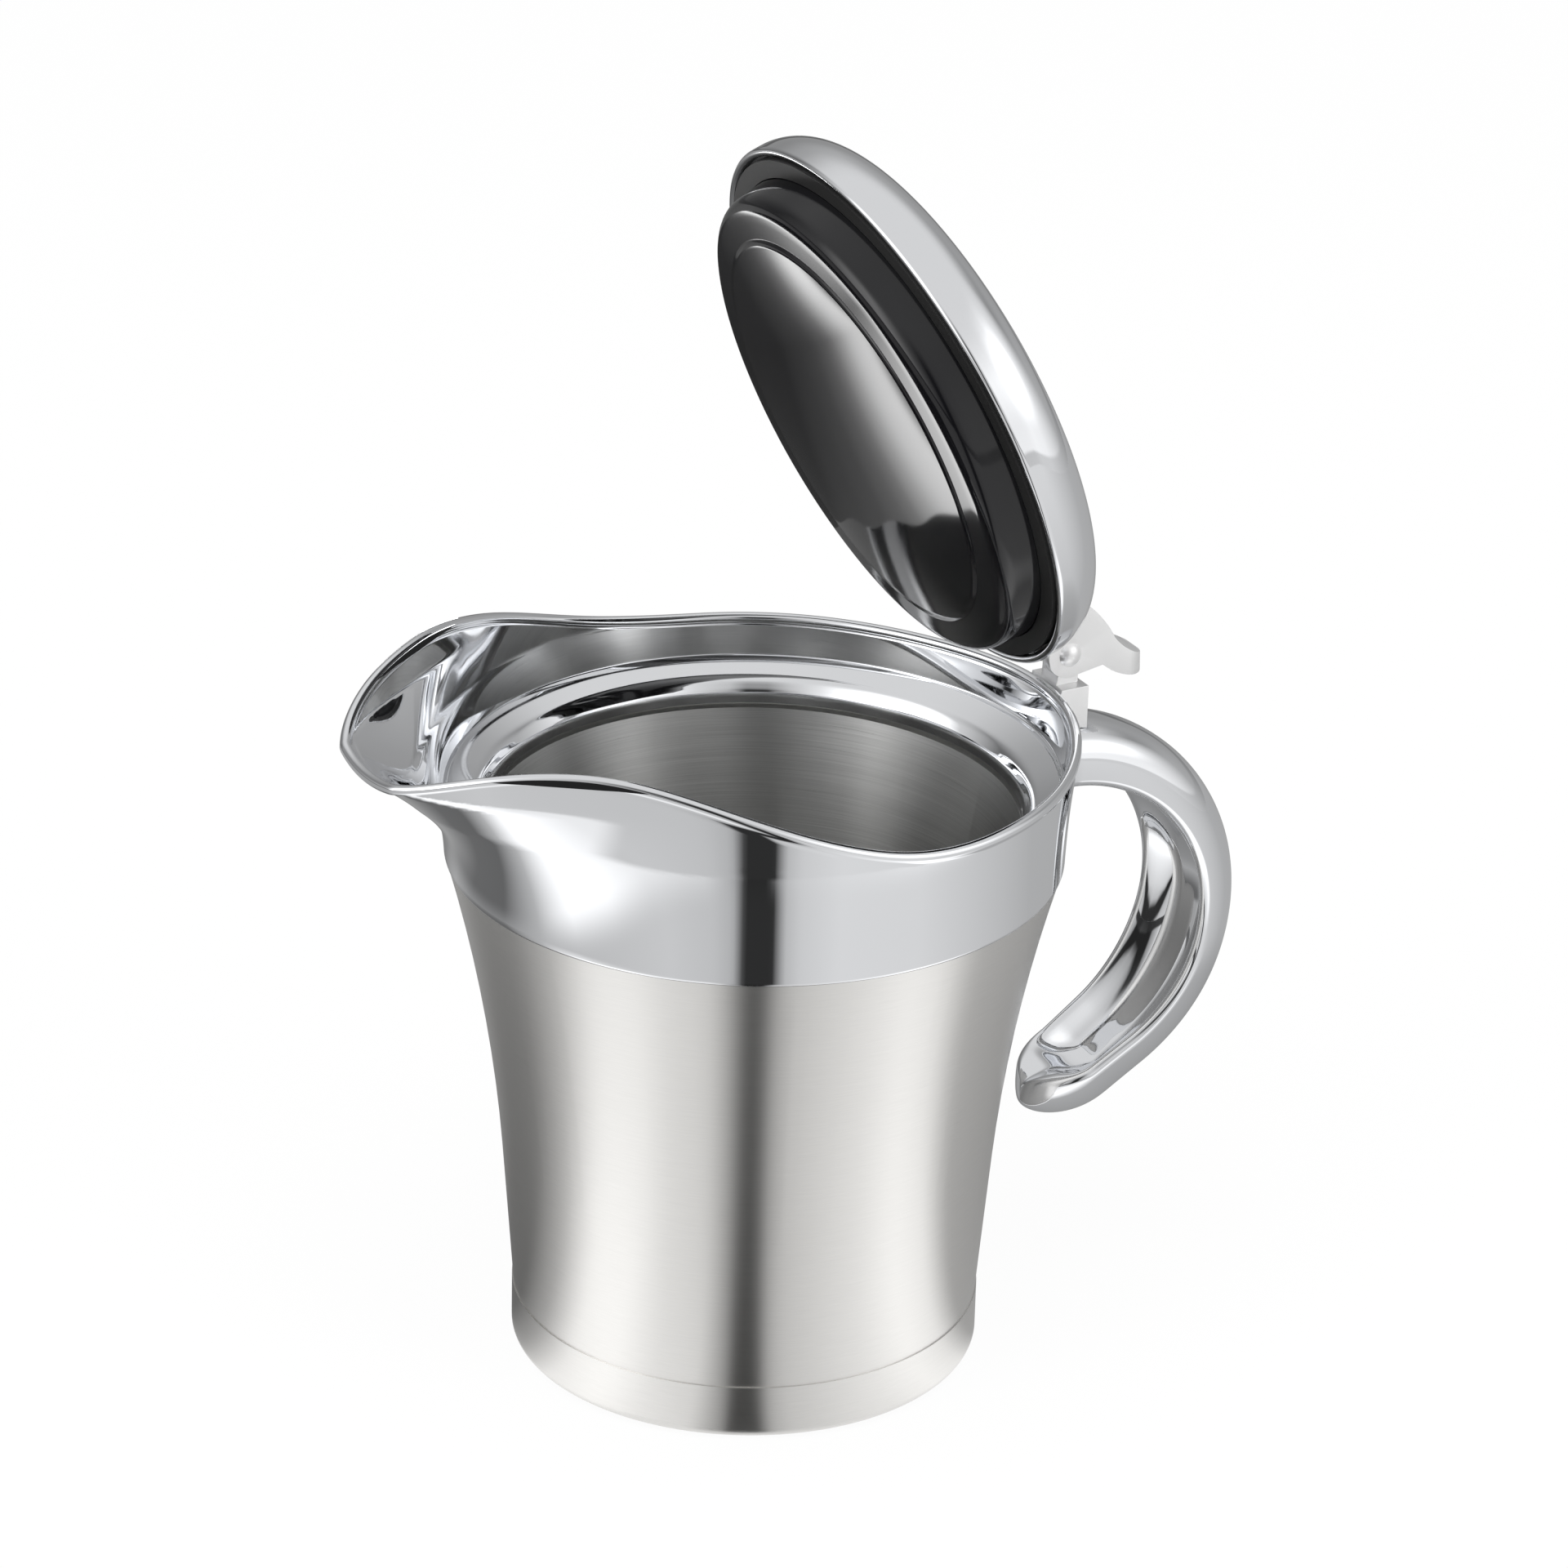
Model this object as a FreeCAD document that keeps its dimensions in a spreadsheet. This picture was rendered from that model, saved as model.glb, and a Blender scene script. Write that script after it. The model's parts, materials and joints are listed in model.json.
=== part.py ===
import FreeCAD, Part
import math
import os
import Sketcher
from FreeCAD import Vector

# Insulated sauce jug, millimetres.
# Frame: +Z up, origin on the cup's axis at the face it rests on, symmetry plane Y = 0,
# spout towards -X, handle and hinge towards +X. The lid is drawn open, as it stands at rest.

doc = FreeCAD.newDocument("SauceJug")

# Driving dimensions
SIZES = {
    # Outer shell: a straight taper to the waist, then a flare up to the seam
    "shell_wall": 0.6,
    "weld_radius": 40.1,
    "weld_height": 9.9,
    "waist_radius": 42.15,
    "waist_height": 36.0,
    "seam_radius": 52.0,
    "seam_height": 91.2,
    "flare_radius": 295.0,
    "neck_inset": 1.9,
    "neck_rise": 5.4,
    # Base cap, slightly proud of the shell, on a flat foot ring
    "cap_proud": 0.2,
    "cap_corner": 1.8,
    "foot_ring_width": 7.3,
    "dish_depth": 1.2,
    # Inner liner, set in from the shell all the way down
    "liner_top_inset": 7.3,
    "liner_waist_inset": 5.55,
    "liner_foot_inset": 5.5,
    "liner_floor_height": 9.5,
    "liner_corner": 7.0,
    "liner_flare_radius": 290.0,
    "flange_inset": 0.2,
    # Gasket between the liner's flange and the collar
    "gasket_thick": 0.8,
    "gasket_width": 3.4,
    # Collar: wall, flare and the ledge that the lid rests on
    "collar_wall": 1.7,
    "collar_slip": 0.05,
    "collar_proud": 0.25,
    "collar_flare": 0.8,
    "rim_flare": 0.9,
    "throat_margin": 0.2,
    "ledge_slope_width": 4.55,
    "ledge_lip_width": 1.3,
    "ledge_rise": 13.0,
    "ledge_slope_drop": 1.8,
    "ledge_lip_drop": 2.4,
    # Rim and spout
    "rim_low_rise": 20.6,
    "rim_back_drop": 0.8,
    "rim_back_reach": 3.2,
    "rim_start": 17.0,
    "rim_lower_back": 50.0,
    "rim_lower_rise": 1.9,
    "rim_upper_back": 21.9,
    "rim_upper_rise": 11.2,
    "rim_peak_back": 3.4,
    "rim_peak_rise": 15.3,
    "rim_fall_back": 6.8,
    "rim_fall_rise": 11.6,
    "rim_tip_rise": 8.4,
    "spout_throw": 20.9,
    "spout_tip_radius": 22.3,
    # Handle: a hook of channel section, and the saddle that joins it to the collar
    "hook_setback": 4.3,
    "hook_drop": 37.2,
    "hook_radius": 28.9,
    "hook_start_angle": 96.0,
    "hook_sweep_angle": 57.4,
    "hook_straight": 8.0,
    "hook_tail_radius": 13.4,
    "hook_tail_angle": 44.0,
    "hook_half_width": 10.85,
    "hook_root_half_width": 8.6,
    "hook_end_half_width": 8.9,
    "hook_depth": 8.45,
    "hook_root_depth": 8.6,
    "hook_end_depth": 8.7,
    "trough_depth": 4.8,
    "saddle_thick": 0.7,
    "saddle_half_width": 11.0,
    "saddle_top_gap": 1.5,
    "saddle_foot_gap": 0.3,
    # Hinge
    "hinge_setback": 4.8,
    "hinge_rise": 6.0,
    "open_angle": 69.0,
    "pin_radius": 1.5,
    "pin_gap": 0.05,
    "pin_head_radius": 2.15,
    "pin_head_rise": 1.2,
    "tongue_half_width": 2.6,
    "tongue_radius": 3.8,
    "tongue_thick": 6.4,
    "washer_thick": 0.35,
    "washer_gap": 0.05,
    "washer_radius": 3.6,
    "lever_half_width": 5.0,
    "lever_toe_reach": 18.0,
    "lever_toe_drop": 1.8,
    "lever_back_reach": 11.0,
    "lever_back_rise": 3.2,
    "lever_back_radius": 24.0,
    "lever_neck_reach": 1.7,
    "lever_neck_rise": 8.9,
    "lever_neck_radius": 12.0,
    "tab_top_reach": 8.1,
    "tab_top_rise": 13.5,
    "tab_tip_reach": 11.3,
    "tab_tip_rise": 12.4,
    "tab_radius": 11.0,
    "tab_corner": 3.4,
    "heel_reach": 5.2,
    "heel_rise": 5.2,
    "heel_radius": 4.2,
    "heel_foot_reach": 3.9,
    "heel_foot_drop": 1.56,
    "sole_near_reach": 6.5,
    "sole_near_drop": 3.0,
    "sole_far_reach": 15.0,
    "sole_far_drop": 6.5,
    "slot_reach": 9.0,
    "slot_drop": 7.0,
    "slot_rise": 4.4,
    "ear_radius": 5.0,
    "slot_margin": 0.6,
    "block_length": 6.4,
    "block_half_width": 5.0,
    "block_shift": 0.8,
    "block_drop": 6.4,
    # Lid shell
    "lid_drop": 0.6,
    "lid_gap": 2.35,
    "lid_wall": 0.8,
    "hem_width": 1.6,
    "hem_height": 1.2,
    "lid_side_height": 2.6,
    "lid_shoulder": 8.6,
    "lid_crown": 14.4,
    # Lid plug and seal
    "plug_wall": 1.8,
    "plug_flange_lap": 0.6,
    "plug_flange_thick": 1.5,
    "plug_gap": 1.7,
    "plug_taper": 0.8,
    "plug_drop": 5.2,
    "plug_round": 1.8,
    "plug_bead_width": 5.75,
    "plug_crease_drop": 7.6,
    "plug_dome_drop": 11.4,
    "seal_gap": 0.4,
    "seal_thick": 1.4,
}

# Dimensions that follow from the ones above
FOLLOWING = {
    "neck_radius": "seam_radius - neck_inset",
    "neck_top": "seam_height + neck_rise",
    "cap_radius": "weld_radius + cap_proud",
    "liner_top_radius": "seam_radius - liner_top_inset",
    "liner_waist_radius": "waist_radius - liner_waist_inset",
    "liner_foot_radius": "weld_radius - liner_foot_inset",
    "liner_flange_radius": "neck_radius - flange_inset",
    "flange_top": "neck_top + shell_wall",
    "gasket_top": "flange_top + gasket_thick",
    "collar_foot_radius": "seam_radius + collar_proud",
    "throat_radius": "liner_top_radius + throat_margin",
    "ledge_inner_radius": "throat_radius + ledge_lip_width",
    "ledge_radius": "ledge_inner_radius + ledge_slope_width",
    "ledge_height": "seam_height + ledge_rise",
    "ledge_inner_height": "ledge_height - ledge_slope_drop",
    "throat_height": "ledge_inner_height - ledge_lip_drop",
    "rim_radius": "seam_radius + rim_flare",
    "rim_low_height": "seam_height + rim_low_rise",
    "spout_reach": "rim_radius + spout_throw",
    "spout_lip": "spout_reach + collar_flare",
    "rim_tip_height": "rim_low_height + rim_tip_rise",
    "hook_centre_x": "seam_radius + hook_setback",
    "hook_centre_z": "ledge_height - hook_drop",
    "hinge_x": "rim_radius + hinge_setback",
    "hinge_z": "rim_low_height + hinge_rise",
    "block_top": "hinge_z - block_drop",
    "mouth_height": "ledge_height - lid_drop",
    "lid_radius": "ledge_radius - lid_gap",
    "hem_radius": "lid_radius - hem_width",
    "crown_half": "lid_radius - lid_shoulder",
    "plug_flange_radius": "hem_radius + plug_flange_lap",
    "plug_radius": "throat_radius - plug_gap",
    "plug_shoulder_radius": "plug_radius - plug_taper",
    "plug_crease_radius": "plug_shoulder_radius - plug_bead_width",
    "seal_radius": "hem_radius - seal_gap",
}

sheet = doc.addObject("Spreadsheet::Sheet", "Sizes")
row = 0
for alias, content in [*SIZES.items(), *FOLLOWING.items()]:
    row += 1
    sheet.set("A%d" % row, alias)
    sheet.set("B%d" % row, str(content) if alias in SIZES else "=" + content)
    sheet.setAlias("B%d" % row, alias)
doc.recompute()


class Size:
    """A length or angle that keeps its number and its formula over the sheet's cells."""

    def __init__(self, value, text):
        self.value = value
        self.text = text

    def join(self, other, mark, value, swap=False):
        other_text = other.text if isinstance(other, Size) else str(other)
        pair = (other_text, self.text) if swap else (self.text, other_text)
        return Size(value, "(%s %s %s)" % (pair[0], mark, pair[1]))

    def __add__(self, other):
        return self.join(other, "+", self.value + number_of(other))

    def __sub__(self, other):
        return self.join(other, "-", self.value - number_of(other))

    def __mul__(self, other):
        return self.join(other, "*", self.value * number_of(other))

    def __truediv__(self, other):
        return self.join(other, "/", self.value / number_of(other))

    def __rsub__(self, other):
        return self.join(other, "-", other - self.value, swap=True)

    def __neg__(self):
        return self * -1

    __radd__ = __add__
    __rmul__ = __mul__


def number_of(size):
    return size.value if isinstance(size, Size) else size


def num(alias):
    return float(sheet.get(alias))


def cell(alias):
    return Size(num(alias), "Sizes." + alias)


def set_size(item, prop, size):
    """Set one property of a feature and tie it to its formula."""
    setattr(item, prop, number_of(size))
    if isinstance(size, Size):
        item.setExpression(prop, size.text)


def new_body(label):
    body = doc.addObject("PartDesign::Body", label)
    body.Label = label
    return body


def origin_plane(body, role):
    return [item for item in body.Origin.OriginFeatures if item.Role == role][0]


def arc_between(start, end, radius, left):
    """Circle arc from start to end, kept anticlockwise; its centre is left or right of the way."""
    chord = end - start
    half = chord.Length / 2
    rise = math.sqrt(max(radius * radius - half * half, 0.0))
    side = Vector(-chord.y, chord.x, 0).normalize()
    centre = (start + end) / 2 + side * (rise if left else -rise)
    first, last = (start, end) if left else (end, start)
    first_angle = math.atan2(first.y - centre.y, first.x - centre.x)
    last_angle = math.atan2(last.y - centre.y, last.x - centre.x)
    if last_angle < first_angle:
        last_angle += 2 * math.pi
    circle = Part.Circle(centre, Vector(0, 0, 1), radius)
    return Part.ArcOfCircle(circle, first_angle, last_angle)


def tie_point(sketch, geometry, vertex, x, y):
    """Hold one sketch point at its formula from the origin."""
    for kind, axis, size in (("DistanceX", -2, x), ("DistanceY", -1, y)):
        if not isinstance(size, Size) and size == 0:
            sketch.addConstraint(Sketcher.Constraint("PointOnObject", geometry, vertex, axis))
            continue
        place = sketch.addConstraint(
            Sketcher.Constraint(kind, -1, 1, geometry, vertex, number_of(size)))
        if isinstance(size, Size):
            sketch.setExpression("Constraints[%d]" % place, size.text)


def tie_radius(sketch, geometry, radius):
    place = sketch.addConstraint(Sketcher.Constraint("Radius", geometry, number_of(radius)))
    if isinstance(radius, Size):
        sketch.setExpression("Constraints[%d]" % place, radius.text)


def new_sketch(body, name, role, offset=None):
    """Empty sketch on an origin plane, or at an offset from it."""
    sketch = body.newObject("Sketcher::SketchObject", name)
    sketch.AttachmentSupport = [(origin_plane(body, role), "")]
    sketch.MapMode = "FlatFace"
    if offset is not None:
        shift = Vector(0, 0, offset.value)
        sketch.AttachmentOffset = FreeCAD.Placement(shift, FreeCAD.Rotation())
        sketch.setExpression("AttachmentOffset.Base.z", offset.text)
    return sketch


def draw(body, name, outline, role="XZ_Plane", offset=None):
    """Sketch a closed outline with every point and radius tied to its formula.

    Each entry is (x, y) for a line to the next point, or (x, y, radius, left) for an arc.
    """
    sketch = new_sketch(body, name, role, offset)
    points = [Vector(number_of(entry[0]), number_of(entry[1]), 0) for entry in outline]
    count = len(outline)
    for index, entry in enumerate(outline):
        start = points[index]
        end = points[(index + 1) % count]
        if len(entry) == 4:
            sketch.addGeometry(arc_between(start, end, number_of(entry[2]), entry[3]), False)
        else:
            sketch.addGeometry(Part.LineSegment(start, end), False)
    # An arc whose centre lies right of the way is stored from its far end
    ends = [(2, 1) if len(entry) == 4 and not entry[3] else (1, 2) for entry in outline]
    for index in range(count):
        after = (index + 1) % count
        sketch.addConstraint(
            Sketcher.Constraint("Coincident", index, ends[index][1], after, ends[after][0]))
    for index, entry in enumerate(outline):
        tie_point(sketch, index, ends[index][0], entry[0], entry[1])
        if len(entry) == 4:
            tie_radius(sketch, index, entry[2])
    return sketch


def revolved(body, sketch, name, axis="V_Axis", kind="PartDesign::Revolution"):
    """Full turn of a sketch about one of its axes."""
    turn = body.newObject(kind, name)
    turn.Profile = sketch
    turn.ReferenceAxis = (sketch, [axis])
    turn.Angle = 360
    sketch.Visibility = False
    return turn


def turned(label, outline):
    """A body of revolution about the cup's axis."""
    body = new_body(label)
    revolved(body, draw(body, label + "_section", outline), label + "_turn")
    return body


def extruded(body, sketch, name, half_width, kind="PartDesign::Pad"):
    """Symmetric pad or pocket to both sides of the sketch's plane."""
    made = body.newObject(kind, name)
    made.Profile = sketch
    made.Midplane = True
    set_size(made, "Length", half_width * 2)
    sketch.Visibility = False
    return made


def feature(label, shape):
    item = doc.addObject("Part::Feature", label)
    item.Label = label
    item.Shape = shape
    return item


# Outer shell: taper, flare, then a neck that the collar slips over
shell_wall = cell("shell_wall")
weld_radius = cell("weld_radius")
weld_height = cell("weld_height")
waist_radius = cell("waist_radius")
waist_height = cell("waist_height")
seam_radius = cell("seam_radius")
seam_height = cell("seam_height")
shell_flare = cell("flare_radius")
neck_radius = cell("neck_radius")
neck_top = cell("neck_top")

outer_shell = turned("outer_shell", [
    (weld_radius, weld_height),
    (waist_radius, waist_height, shell_flare, False),
    (seam_radius, seam_height),
    (neck_radius, seam_height),
    (neck_radius, neck_top),
    (neck_radius - shell_wall, neck_top),
    (neck_radius - shell_wall, seam_height - shell_wall),
    (seam_radius - shell_wall, seam_height - shell_wall, shell_flare + shell_wall, True),
    (waist_radius - shell_wall, waist_height),
    (weld_radius - shell_wall, weld_height),
])

# Base cap: a pan welded to the shell's lower edge, with a foot ring round a dished middle
cap_radius = cell("cap_radius")
cap_corner = cell("cap_corner")
dish_depth = cell("dish_depth")
foot_inner = cap_radius - cell("foot_ring_width")

base_cap = turned("base_cap", [
    (0, dish_depth),
    (foot_inner - dish_depth, dish_depth),
    (foot_inner, 0),
    (cap_radius - cap_corner, 0, cap_corner, True),
    (cap_radius, cap_corner),
    (cap_radius, weld_height),
    (cap_radius - shell_wall, weld_height),
    (cap_radius - shell_wall, cap_corner, cap_corner - shell_wall, False),
    (cap_radius - cap_corner, shell_wall),
    (foot_inner + shell_wall / 2, shell_wall),
    (foot_inner - dish_depth + shell_wall / 2, dish_depth + shell_wall),
    (0, dish_depth + shell_wall),
])

# Inner liner: the cup that holds the sauce, with a flange that rests on the shell's neck
liner_top = cell("liner_top_radius")
liner_waist = cell("liner_waist_radius")
liner_foot = cell("liner_foot_radius")
liner_floor = cell("liner_floor_height")
liner_corner = cell("liner_corner")
liner_flare = cell("liner_flare_radius")
liner_flange = cell("liner_flange_radius")
flange_top = cell("flange_top")

inner_liner = turned("inner_liner", [
    (0, liner_floor),
    (liner_foot - liner_corner, liner_floor, liner_corner, True),
    (liner_foot, liner_floor + liner_corner),
    (liner_waist, waist_height, liner_flare, False),
    (liner_top, flange_top),
    (liner_flange, flange_top),
    (liner_flange, neck_top),
    (liner_top + shell_wall, neck_top, liner_flare - shell_wall, True),
    (liner_waist + shell_wall, waist_height),
    (liner_foot + shell_wall, liner_floor + liner_corner, liner_corner + shell_wall, False),
    (liner_foot - liner_corner, liner_floor - shell_wall),
    (0, liner_floor - shell_wall),
])

# Gasket between the liner's flange and the collar
gasket_top = cell("gasket_top")
gasket_inner = liner_flange - cell("gasket_width")

liner_gasket = turned("liner_gasket", [
    (gasket_inner, flange_top),
    (liner_flange, flange_top),
    (liner_flange, gasket_top),
    (gasket_inner, gasket_top),
])


def half_wire(points):
    """Closed wire of a smooth half outline that leaves and meets the plane Y = 0 squarely."""
    points[0].y = 0.0
    points[-1].y = 0.0
    curve = Part.BSplineCurve()
    curve.interpolate(Points=points, InitialTangent=Vector(0, 1, 0), FinalTangent=Vector(0, -1, 0))
    chord = Part.LineSegment(points[-1], points[0])
    return Part.Wire([curve.toShape(), chord.toShape()])


def both_halves(half):
    """A solid on the +Y side joined to its mirror image."""
    return half.fuse(half.mirror(Vector(0, 0, 0), Vector(0, 1, 0)))


# How the sections of the collar are spaced and shaped
SECTION_STEPS = 30
SPOUT_CROWDING = 0.45
BACK_SPREAD = 0.42
SECTION_RISES = (0.2, 0.4, 0.55, 0.7, 0.85, 1.0, 1.12)
FIRST_RISE = 0.02
EARLY_THROW = 0.10
THROW_POWER = 2.3
THROW_ABOVE_TIP = 0.15
TOP_MARGIN = 4.0


def lobe(away):
    """Share of the spout's throw at an angle away from the spout's middle.

    The rim's plan is a circle, two straight sides tangent to it and a round tip.
    """
    rim = num("rim_radius")
    reach = num("spout_reach")
    tip = num("spout_tip_radius")
    tip_centre = reach - tip
    leave = math.acos((rim - tip) / tip_centre)
    tip_end = math.atan2(tip * math.sin(leave), tip_centre + tip * math.cos(leave))
    if away >= leave:
        return 0.0
    if away > tip_end:
        radius = rim / math.cos(leave - away)
    else:
        across = tip_centre * math.sin(away)
        radius = tip_centre * math.cos(away) + math.sqrt(tip * tip - across * across)
    return (radius - rim) / (reach - rim)


def collar_section(height, radius, reach, back):
    """Half curve round the cup at one height, drawn out at the spout and the hinge."""
    points = []
    for index in range(SECTION_STEPS + 1):
        turn = math.pi * index / SECTION_STEPS
        angle = turn - SPOUT_CROWDING * math.sin(2 * turn) / 2
        length = radius + (reach - radius) * lobe(math.pi - angle)
        length += back * math.exp(-(angle / BACK_SPREAD) ** 2)
        points.append(Vector(length * math.cos(angle), length * math.sin(angle), height))
    return half_wire(points)


def throw_share(rise):
    """How far the spout has swept out at a share of the way up: slow, then fast."""
    if rise > 1:
        return 1.0 + THROW_ABOVE_TIP * (rise - 1)
    return EARLY_THROW * rise + (1 - EARLY_THROW) * rise ** THROW_POWER


def collar_form(inset, bottom):
    """Half solid above a height, bounded by the collar's outer surface moved inwards by a wall."""
    seam = num("seam_height")
    tip_rise = num("rim_tip_height") - seam
    foot = num("collar_foot_radius")
    top = num("rim_low_height") + num("rim_peak_rise") + TOP_MARGIN
    first = bottom + FIRST_RISE * tip_rise
    heights = [seam + rise * tip_rise for rise in SECTION_RISES]
    wires = []
    for height in [bottom] + [height for height in heights if height > first] + [top]:
        rise = (height - seam) / tip_rise
        side = min(1.0, (height - seam) / num("rim_low_rise"))
        radius = foot + (num("rim_radius") - foot) * side + num("collar_flare") * side ** 3
        reach = radius + num("spout_throw") * throw_share(rise)
        back = num("rim_back_reach") * side ** 2
        wires.append(collar_section(height, radius - inset, reach - inset, back))
    return Part.makeLoft(wires, True, False)


# Slopes of the rim's line where it rises towards the spout and where it falls to the tip
TIP_SLOPE = 0.43


def rim_cutter():
    """Everything above the wavy rim: low at the back, high behind the spout, dipping to its tip."""
    rim = num("rim_radius")
    low = num("rim_low_height")
    lip = num("spout_lip")
    far = 2 * rim
    top = low + 2 * num("rim_peak_rise")
    level = Vector(-1, 0, 0)
    down = Vector(-1, 0, -TIP_SLOPE)
    marks = [
        (far, low - num("rim_back_drop"), level),
        (num("rim_start"), low, level),
        (num("rim_lower_back") - rim, low + num("rim_lower_rise"), None),
        (num("rim_upper_back") - rim, low + num("rim_upper_rise"), None),
        (num("rim_peak_back") - rim, low + num("rim_peak_rise"), level),
        (num("rim_fall_back") - lip, low + num("rim_fall_rise"), None),
        (-lip, num("rim_tip_height"), down),
    ]
    wave = Part.BSplineCurve()
    wave.interpolate(
        Points=[Vector(x, 0, z) for x, z, way in marks],
        Tangents=[way or level for x, z, way in marks],
        TangentFlags=[way is not None for x, z, way in marks])
    beyond = Vector(-far, 0, num("rim_tip_height") - TIP_SLOPE * (far - lip))
    corners = [wave.EndPoint, beyond, Vector(-far, 0, top), Vector(far, 0, top), wave.StartPoint]
    edges = [wave.toShape()]
    edges += [Part.LineSegment(start, end).toShape() for start, end in zip(corners, corners[1:])]
    face = Part.Face(Part.Wire(edges))
    face.translate(Vector(0, -far, 0))
    return face.extrude(Vector(0, 2 * far, 0))


def turned_tool(outline):
    """Cutting solid of revolution from (radius, height) corners, its seam on the -Y side."""
    points = [Vector(radius, 0, height) for radius, height in outline]
    wire = Part.makePolygon(points + points[:1])
    solid = Part.Face(wire).revolve(Vector(0, 0, 0), Vector(0, 0, 1), 360)
    solid.rotate(Vector(0, 0, 0), Vector(0, 0, 1), -90)
    return solid


TOOL_MARGIN = 1.0


def spout_collar_shape():
    """Collar: flared wall with spout, inner ledge for the lid, throat into the liner."""
    seam = num("seam_height")
    ledge = num("ledge_height")
    neck = num("neck_radius") + num("collar_slip")
    wall = collar_form(0.0, seam).cut(collar_form(num("collar_wall"), ledge))
    funnel = turned_tool([
        (0, seam - TOOL_MARGIN),
        (neck, seam - TOOL_MARGIN),
        (neck, num("gasket_top")),
        (num("throat_radius"), num("gasket_top")),
        (num("throat_radius"), num("throat_height")),
        (num("ledge_inner_radius"), num("ledge_inner_height")),
        (num("ledge_radius"), ledge),
        (num("ledge_radius"), ledge + TOOL_MARGIN),
        (0, ledge + TOOL_MARGIN),
    ])
    return both_halves(wall.cut(funnel).cut(rim_cutter()))


spout_collar = feature("spout_collar", spout_collar_shape())


def hook_point(way):
    """Point and outward normal of the hook's lips at a distance along them from the root."""
    centre = Vector(num("hook_centre_x"), 0, num("hook_centre_z"))
    radius = num("hook_radius")
    top = math.radians(num("hook_start_angle"))
    bottom = -math.radians(num("hook_sweep_angle"))
    first = radius * (top - bottom)
    straight = num("hook_straight")
    tail = num("hook_tail_radius")
    if way <= first:
        angle = top - way / radius
        normal = Vector(math.cos(angle), 0, math.sin(angle))
        return centre + normal * radius, normal
    normal = Vector(math.cos(bottom), 0, math.sin(bottom))
    along = Vector(math.sin(bottom), 0, -math.cos(bottom))
    corner = centre + normal * radius
    if way <= first + straight:
        return corner + along * (way - first), normal
    turn = bottom - (way - first - straight) / tail
    tail_centre = corner + along * straight - normal * tail
    normal = Vector(math.cos(turn), 0, math.sin(turn))
    return tail_centre + normal * tail, normal


def hook_length():
    turned_by = math.radians(num("hook_start_angle") + num("hook_sweep_angle"))
    tail = num("hook_tail_radius") * math.radians(num("hook_tail_angle"))
    return num("hook_radius") * turned_by + num("hook_straight") + tail


def eased(share, low, high):
    """Smooth step from low to high."""
    share = min(1.0, max(0.0, share))
    share = share * share * (3 - 2 * share)
    return low + (high - low) * share


# Where along the hook its section changes, as shares of its length
WIDE_BY = 0.42
NARROW_FROM = 0.6
DEEP_BY = 0.4
TAIL_FROM = 0.5
TROUGH_FROM = 0.12
TROUGH_BY = 0.42
ROUND_BY = 0.35
# Shape of the section: 2 is an ellipse, more is squarer
SQUARE_ROOT = 3.2
SQUARE_MIDDLE = 2.1
ROOT_TROUGH = 0.25
TROUGH_POWER = 1.5
LIP_ROUND = 0.32
END_DEPTH_SHARE = 0.35
HOOK_STEPS = 16
END_SHARES = (0.8, 0.5, 0.25, 0.08, 0.01)


def hook_section(way):
    """Closed half channel section: a full outer curve, round lips and a hollow inner face."""
    length = hook_length()
    share = way / length
    place, normal = hook_point(way)
    half = eased(share / WIDE_BY, num("hook_root_half_width"), num("hook_half_width"))
    narrowing = num("hook_end_half_width") - num("hook_half_width")
    half += eased((share - NARROW_FROM) / (1 - NARROW_FROM), 0.0, narrowing)
    depth = eased(share / DEEP_BY, num("hook_root_depth"), num("hook_depth"))
    deepening = num("hook_end_depth") - num("hook_depth")
    depth += eased((share - TAIL_FROM) / (1 - TAIL_FROM), 0.0, deepening)
    trough_share = (share - TROUGH_FROM) / (TROUGH_BY - TROUGH_FROM)
    trough = eased(trough_share, ROOT_TROUGH, num("trough_depth"))
    square = eased(share / ROUND_BY, SQUARE_ROOT, SQUARE_MIDDLE)
    # The end closes as a half circle seen from above
    left_over = length - way
    close = 1.0 if left_over >= half else math.sqrt(1 - ((half - left_over) / half) ** 2)
    half *= close
    depth *= END_DEPTH_SHARE + (1 - END_DEPTH_SHARE) * close
    trough *= close * close
    points = []
    for index in range(HOOK_STEPS + 1):
        angle = math.pi / 2 - math.pi * index / HOOK_STEPS
        cosine = max(0.0, math.cos(angle))
        sine = math.sin(angle)
        wide = half * cosine ** (2 / square)
        if sine >= 0:
            out = depth * sine ** (2 / square)
        else:
            out = trough * abs(sine) ** TROUGH_POWER - LIP_ROUND * depth * cosine * abs(sine)
        points.append(place + Vector(0, wide, 0) + normal * out)
    return half_wire(points)


def handle_shape():
    """Cast hook with its saddle, cut to the collar's outer surface."""
    length = hook_length()
    ways = [length * index / HOOK_STEPS for index in range(HOOK_STEPS - 1)]
    ways += [length - num("hook_end_half_width") * share for share in END_SHARES]
    hook = Part.makeLoft([hook_section(way) for way in ways], True, False)
    seam = num("seam_height")
    foot = seam + num("saddle_foot_gap")
    top = num("ledge_height") + num("saddle_top_gap")
    inner = num("hinge_x") / 2
    skin = collar_form(-num("saddle_thick"), seam)
    window = Part.makeBox(inner, num("saddle_half_width"), top - foot, Vector(inner, 0, foot))
    half = hook.fuse(skin.common(window)).cut(collar_form(0.0, seam))
    # The loft's root ends inside the cup, below the collar's foot too
    core = turned_tool([
        (0, num("hook_centre_z")),
        (num("collar_foot_radius"), num("hook_centre_z")),
        (num("collar_foot_radius"), seam),
        (0, seam),
    ])
    return both_halves(half.cut(core))


handle = feature("handle", handle_shape())

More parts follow.
